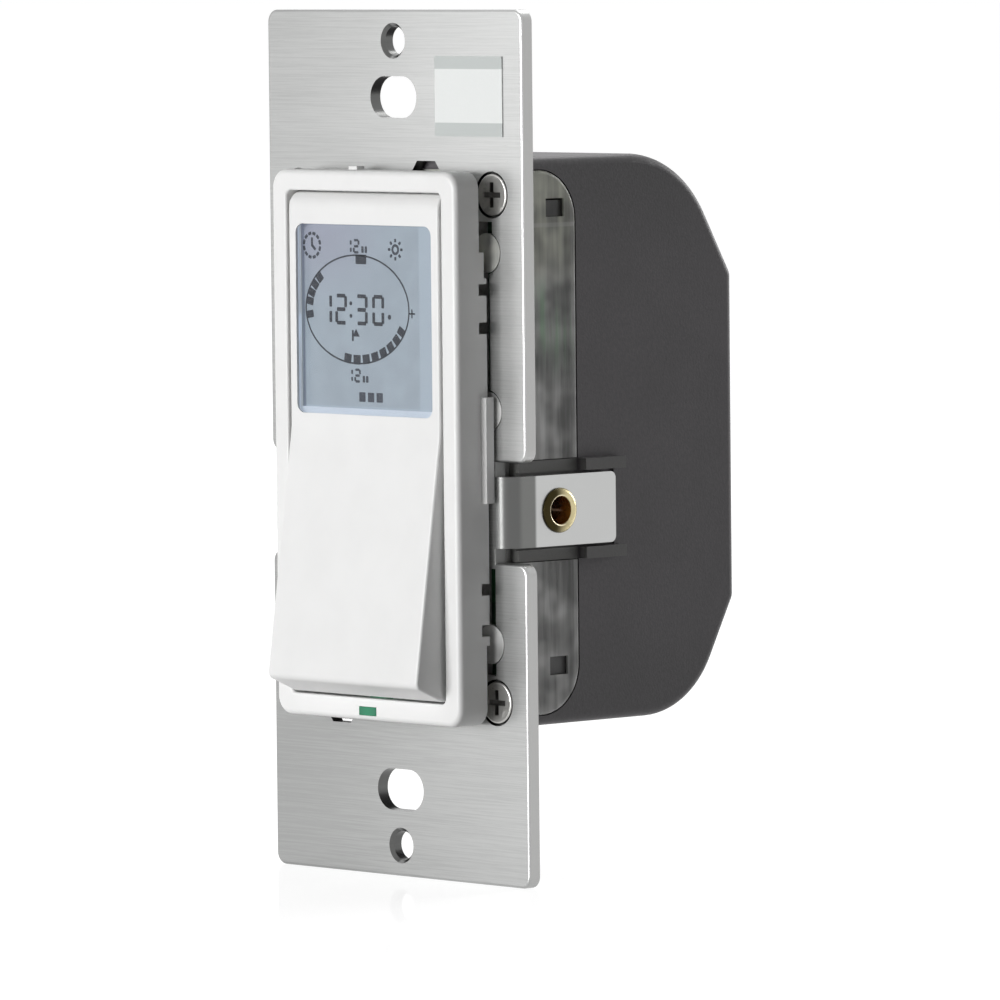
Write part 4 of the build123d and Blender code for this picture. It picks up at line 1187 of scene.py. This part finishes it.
@dataclass
class DisplayAssembly:
    """The display, its board and the marks that it shows."""

    middle: Pair = (-2.35, 16.3)
    ring_half: Pair = (9.33, 6.6)
    ring_line: float = 0.2
    block_share: float = 0.135
    block_height: float = 1.15
    block_depth: float = 0.915
    digit_height: float = 3.72
    digit_width: float = 2.1
    stroke: float = 0.46
    fine_stroke: float = 0.3
    upright_gap: float = 1.15
    level_gap: float = 1.3
    clearance: float = 0.01
    left_blocks: tuple[float, ...] = (142.0, 152.0, 162.0, 172.0, 187.0)
    low_block: float = -102.0
    low_block_pitch: float = 11.1
    low_blocks: int = 8
    top_block: Pair = (0.74, 6.02)
    top_block_width: float = 1.9
    plus: Pair = (0.42, -0.3)
    plus_size: Pair = (1.1, 0.2)
    time: str = "1230"
    time_lefts: tuple[float, ...] = (-9.0, -6.3, -2.6, 0.35)
    time_bottom: float = 14.4
    colon: tuple[Quad, ...] = ((-3.5, 15.5, 0.24, 0.24), (-3.5, 17.0, 0.24, 0.24))
    flag_stem: Quad = (-3.2, 13.15, 0.3, 1.35)
    flag: Quad = (-2.6, 13.35, 0.72, 0.62)
    flag_sides: int = 3
    full_stop: Quad = (3.4, 15.5, 0.3, 0.3)
    clock: Pair = (-10.4, 23.85)
    clock_radius: float = 1.45
    clock_dash: Pair = (0.56, 0.38)
    hand: float = 0.34
    clock_hands: tuple[Quad, ...] = ((0.0, 0.4, 1.1, 0.0), (0.32, -0.25, 0.85, 50.0))
    sun: Pair = (4.56, 23.6)
    sun_disc: Pair = (0.66, 0.32)
    ray_radius: float = 1.08
    ray: Pair = (0.44, 0.34)
    small_figures: str = "12"
    small_lefts: Pair = (-4.4, -3.0)
    small_numbers: tuple[Pair, ...] = ((23.0, 1.75), (7.5, 1.7))
    small_width: float = 1.15
    letter_bar: Pair = (0.4, 0.8)
    letter_bars: tuple[Pair, ...] = ((-1.3, 23.5), (-0.7, 23.5), (-1.3, 7.95), (-0.7, 7.95))
    word_bar: Pair = (1.1, 1.15)
    word_bars: tuple[Pair, ...] = ((-1.6, 5.8), (-0.05, 5.8), (1.5, 5.8))

    strokes = {"0": "abcdef", "1": "bc", "2": "abged", "3": "abgcd"}

    def digit(
        self, marks: Marks, figure: str, left: float, bottom: float, height: float, width: float
    ) -> None:
        """Draws one plain number from straight strokes.

        Args:
            marks: what it is drawn in.
            figure: the number.
            left: its left side.
            bottom: its bottom.
            height: its height.
            width: its width.
        """
        line = max(self.fine_stroke, self.stroke * height / self.digit_height)
        tall = height / 2 - self.upright_gap * line
        x_left, x_right = left + line / 2, left + width - line / 2
        z_low, z_high = bottom + height / 4, bottom + 3 * height / 4
        upright = {"f": (x_left, z_high), "b": (x_right, z_high), "e": (x_left, z_low), "c": (x_right, z_low)}
        level = {"a": bottom + height - line / 2, "g": bottom + height / 2, "d": bottom + line / 2}
        for name in self.strokes[figure]:
            if name in upright:
                marks.bar(*upright[name], line, tall)
            else:
                marks.bar(left + width / 2, level[name], width - self.level_gap * line, line)

    def number(
        self, marks: Marks, figures: str, lefts: tuple[float, ...], bottom: float, size: Pair
    ) -> None:
        """Draws a number.

        Args:
            marks: what it is drawn in.
            figures: its figures.
            lefts: the left side of each.
            bottom: their bottom.
            size: their height and width.
        """
        for figure, left in zip(figures, lefts):
            self.digit(marks, figure, left, bottom, *size)

    def draw_ring(self, marks: Marks) -> None:
        """Draws the day ring with its blocks and its plus.

        Args:
            marks: what they are drawn in.
        """
        x, z = self.middle
        half_x, half_z = self.ring_half
        marks.ring(x, z, half_x, half_z, self.ring_line)
        low = (self.low_block + self.low_block_pitch * index for index in range(self.low_blocks))
        for angle in (*self.left_blocks, *low):
            turn = math.radians(angle)
            place = (self.block_depth * half_x * math.cos(turn), self.block_depth * half_z * math.sin(turn))
            along = Vector((-half_x * math.sin(turn), half_z * math.cos(turn)))
            slope = math.degrees(math.atan2(along.y, along.x))
            marks.bar(x + place[0], z + place[1], self.block_share * along.length, self.block_height, slope)
        marks.bar(x + self.top_block[0], z + self.top_block[1], self.top_block_width, self.block_height)
        long, line = self.plus_size
        for size in ((long, line), (line, long)):
            marks.bar(x + half_x + self.plus[0], z + self.plus[1], *size)

    def draw_time(self, marks: Marks) -> None:
        """Draws the time, its colon, the flag under it and the full stop.

        Args:
            marks: what they are drawn in.
        """
        size = (self.digit_height, self.digit_width)
        self.number(marks, self.time, self.time_lefts, self.time_bottom, size)
        for dot in self.colon:
            marks.disc(*dot)
        marks.bar(*self.flag_stem)
        marks.disc(*self.flag, self.flag_sides)
        marks.disc(*self.full_stop)

    def spokes(
        self, marks: Marks, centre: Pair, radius: float, angles: range, slope: float, size: Pair
    ) -> None:
        """Draws bars round a point.

        Args:
            marks: what they are drawn in.
            centre: the point.
            radius: how far out their middles lie.
            angles: where they stand, in degrees.
            slope: their turn from the way outwards, in degrees.
            size: the width and height of each.
        """
        for angle in angles:
            turn = math.radians(angle)
            x = centre[0] + radius * math.cos(turn)
            z = centre[1] + radius * math.sin(turn)
            marks.bar(x, z, *size, angle + slope)

    def draw_icons(self, marks: Marks) -> None:
        """Draws the clock, the sun, the small numbers and the plain bars that stand for a word.

        Args:
            marks: what they are drawn in.
        """
        x, z = self.clock
        self.spokes(marks, self.clock, self.clock_radius, range(15, 360, 30), 90.0, self.clock_dash)
        for across, up, length, turn in self.clock_hands:
            marks.bar(x + across, z + up, self.hand, length, turn)
        half, line = self.sun_disc
        marks.ring(*self.sun, half, half, line)
        self.spokes(marks, self.sun, self.ray_radius, range(0, 360, 45), 0.0, self.ray)
        for bottom, height in self.small_numbers:
            self.number(marks, self.small_figures, self.small_lefts, bottom, (height, self.small_width))
        for place in self.letter_bars:
            marks.bar(*place, *self.letter_bar)
        for place in self.word_bars:
            marks.bar(*place, *self.word_bar)

    def build(self, wardrobe: Wardrobe) -> None:
        """Dresses the display's nodes and draws its marks just in front of the glass.

        Args:
            wardrobe: what the finishes come from.
        """
        wardrobe.dress(Slot.DISPLAY, "display_panel")
        wardrobe.dress(Slot.RUBBER, "display_connectors")
        wardrobe.dress(Slot.CARRIER, "display_carrier")
        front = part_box("display_panel")[0].y / MM - self.clearance
        ink = DisplayInk("display segments", (0.018, 0.02, 0.026))
        faint = DisplayInk("faint display segments", (0.03, 0.034, 0.044))
        for name, draw, finish in (
            ("display_ring", self.draw_ring, ink),
            ("display_time", self.draw_time, ink),
            ("display_icons", self.draw_icons, faint),
        ):
            marks = Marks(front)
            draw(marks)
            wardrobe.piece(name, marks.solid(), finish, "chassis")


@dataclass
class StrapAssembly:
    """The mounting strap with its screws, eyelets and label."""

    def build(self, wardrobe: Wardrobe) -> None:
        """Dresses the strap's nodes.

        Args:
            wardrobe: what the finishes come from.
        """
        wardrobe.dress(Slot.STRAP, "mounting_strap")
        head = RecessedHead(
            "strap screw head", FINISHES[Slot.SCREW].tint, head_front=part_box("strap_screws")[0].y / MM
        )
        wardrobe.dress(Slot.SCREW, "strap_screws", finish=head)
        wardrobe.dress(Slot.SCREW, "terminal_screws")
        wardrobe.dress(Slot.EYELET, "side_eyelets")
        wardrobe.dress(Slot.LABEL, "rating_label")
        Eyelets().build(wardrobe)


@dataclass
class FaceAssembly:
    """The bezel, the push pad with its window, the lever and the buttons behind it."""

    buttons: int = 4

    def build(self, wardrobe: Wardrobe) -> None:
        """Dresses the face's nodes.

        Args:
            wardrobe: what the finishes come from.
        """
        wardrobe.dress(Slot.FACE, "bezel_frame", "push_pad")
        wardrobe.dress(Slot.WINDOW, "pad_window")
        wardrobe.dress(Slot.LEVER, "pad_lever")
        wardrobe.dress(Slot.PIN, "hinge_pin")
        wardrobe.dress(Slot.SWITCH, "pad_plunger", "pad_switch", "button_switches")
        wardrobe.dress(Slot.BUTTON, *(f"program_button_{k + 1}" for k in range(self.buttons)))
        wardrobe.dress(Slot.LIGHT, "light_guide", "indicator_led")
        WindowBorder().build(wardrobe)


@dataclass
class HousingAssembly:
    """The smoke sleeve and the dark box behind the strap, with what they hold."""

    def build(self, wardrobe: Wardrobe) -> None:
        """Dresses the housings and the electronics.

        Args:
            wardrobe: what the finishes come from.
        """
        wardrobe.dress(Slot.SMOKE, "middle_housing")
        wardrobe.dress(Slot.HOUSING, "rear_housing")
        wardrobe.dress(Slot.BOARD, "display_board", "link_board", "power_board")
        wardrobe.dress(Slot.CHIP, "timer_chip")
        wardrobe.dress(Slot.CELL, "backup_cell")
        wardrobe.dress(Slot.RELAY, "relay")
        wardrobe.dress(Slot.CAN, "filter_capacitors")
        wardrobe.dress(Slot.FILM, "film_capacitor")
        wardrobe.dress(Slot.CHOKE, "choke")
        wardrobe.dress(Slot.VARISTOR, "varistor")
        wardrobe.dress(Slot.TERMINAL, "terminal_blocks")


@dataclass
class Studio:
    """A pale floor, soft lamps, a plain white surround and the camera."""

    azimuth: float = 47.27
    elevation: float = 3.64
    roll: float = -0.58
    distance: float = 1070.1
    target: Triple = (18.13, -1.6, -5.99)
    focal_px: float = 9014.7
    frame_px: float = 1000.0
    sensor: float = 36.0
    clip: Pair = (0.01, 200.0)
    floor_size: float = 80.0
    floor_tint: float = 0.3
    floor_emission: float = 0.955
    floor_fade: Pair = (160.0, 900.0)
    floor_gloss: float = 0.13
    floor_roughness: float = 0.04
    fill: float = 0.02
    lamp_distance: float = 1.5
    lamps = {
        "front lamp": ((-0.24, -1.0, 0.04), 0.65, 29.0),
        "top lamp": ((-0.25, 0.5, 1.0), 0.8, 14.0),
        "back lamp": ((0.08, 1.0, 0.25), 0.6, 7.0),
    }

    def camera(self) -> None:
        """Makes the camera at the photograph's viewing angle."""
        az, el, roll = (math.radians(v) for v in (self.azimuth, self.elevation, self.roll))
        back = Vector((math.sin(az) * math.cos(el), -math.cos(az) * math.cos(el), math.sin(el)))
        level = Vector((math.cos(az), math.sin(az), 0.0))
        upright = back.cross(level)
        right = math.cos(roll) * level + math.sin(roll) * upright
        up = math.cos(roll) * upright - math.sin(roll) * level
        data = bpy.data.cameras.new("camera")
        data.sensor_width = self.sensor
        data.lens = self.focal_px * self.sensor / self.frame_px
        data.clip_start, data.clip_end = self.clip
        made = put("camera", data)
        place = (Vector(self.target) + back * self.distance) * MM
        made.matrix_world = Matrix.Translation(place) @ Matrix((right, up, back)).transposed().to_4x4()
        bpy.context.scene.camera = made

    def seen(self, graph: Graph) -> Value:
        """Is 1 for rays from the camera, from gloss and through clear plastic.

        Args:
            graph: the tree that it is used in.

        Returns:
            1 for such rays and 0 for others.
        """
        path = graph.tree.nodes.new("ShaderNodeLightPath")
        names = ("Is Camera Ray", "Is Glossy Ray", "Is Transmission Ray")
        camera, gloss, through = (Value(graph, path.outputs[name]) for name in names)
        total = camera + gloss + through
        return graph.node("ShaderNodeMath", {"operation": "MINIMUM"}, {0: total, 1: 1.0})

    def surround(self) -> None:
        """Makes the world: white where it is seen, and a low even fill elsewhere."""
        graph = Graph(bpy.data.worlds.new("surround"))
        strength = self.fill + (1.0 - self.fill) * self.seen(graph)
        light = graph.node("ShaderNodeBackground", {}, {"Color": (1.0, 1.0, 1.0, 1.0), "Strength": strength})
        bpy.context.scene.world = graph.close("ShaderNodeOutputWorld", light)

    def floor(self) -> None:
        """Makes the floor under the strap's lower end, white with a shadow and a faint reflection."""
        shape = bmesh.new()
        verts = sheet(shape, self.floor_size, self.floor_size)
        bmesh.ops.translate(shape, vec=(0.0, 0.0, cad_bounds[0].z), verts=verts)
        data = mesh_of("floor", shape)
        graph = Graph(bpy.data.materials.new("floor"))
        lit = graph.node("ShaderNodeBsdfDiffuse", {}, {"Color": (*(self.floor_tint,) * 3, 1.0)})
        away = graph.node("ShaderNodeVectorMath", {"operation": "LENGTH"}, {0: graph.place()}, "Value")
        strength = self.floor_emission + (1.0 - self.floor_emission) * away.step(*self.floor_fade)
        glow = graph.node("ShaderNodeEmission", {}, {"Strength": strength * self.seen(graph)})
        base = graph.node("ShaderNodeAddShader", {}, {0: lit, 1: glow})
        polish = {"Color": (1.0, 1.0, 1.0, 1.0), "Roughness": self.floor_roughness}
        gloss = graph.node("ShaderNodeBsdfGlossy", {}, polish)
        both = graph.node("ShaderNodeMixShader", {}, {0: self.floor_gloss, 1: base, 2: gloss})
        data.materials.append(graph.close("ShaderNodeOutputMaterial", both))
        made = put("floor", data)

    def lamp(self, name: str, way: Triple, distance: float, size: float, power: float) -> None:
        """Makes one square lamp that looks at the switch.

        Args:
            name: the lamp's name.
            way: the direction in which it stands.
            distance: how far off, in metres.
            size: its side, in metres.
            power: its power, in watts.
        """
        data = bpy.data.lights.new(name, "AREA")
        data.size = size
        data.energy = power
        out = Vector(way).normalized()
        facing = out.to_track_quat("Z", "Y").to_matrix().to_4x4()
        put(name, data).matrix_world = Matrix.Translation(out * distance) @ facing

    def build(self) -> None:
        """Makes everything round the switch."""
        bpy.context.scene.view_settings.view_transform = "Standard"
        self.camera()
        self.surround()
        self.floor()
        for name, (way, size, power) in self.lamps.items():
            self.lamp(name, way, self.lamp_distance, size, power)
        log.info("studio: camera, floor, surround and lamps")


def main() -> None:
    """Builds the switch's looks in order."""
    logging.basicConfig(level=logging.INFO, format="%(name)s %(message)s")
    wardrobe = Wardrobe()
    Studio().build()
    for assembly in (StrapAssembly(), FaceAssembly(), DisplayAssembly(), HousingAssembly()):
        assembly.build(wardrobe)
        log.info("%s done", type(assembly).__name__)


if __name__ == "__main__":
    main()
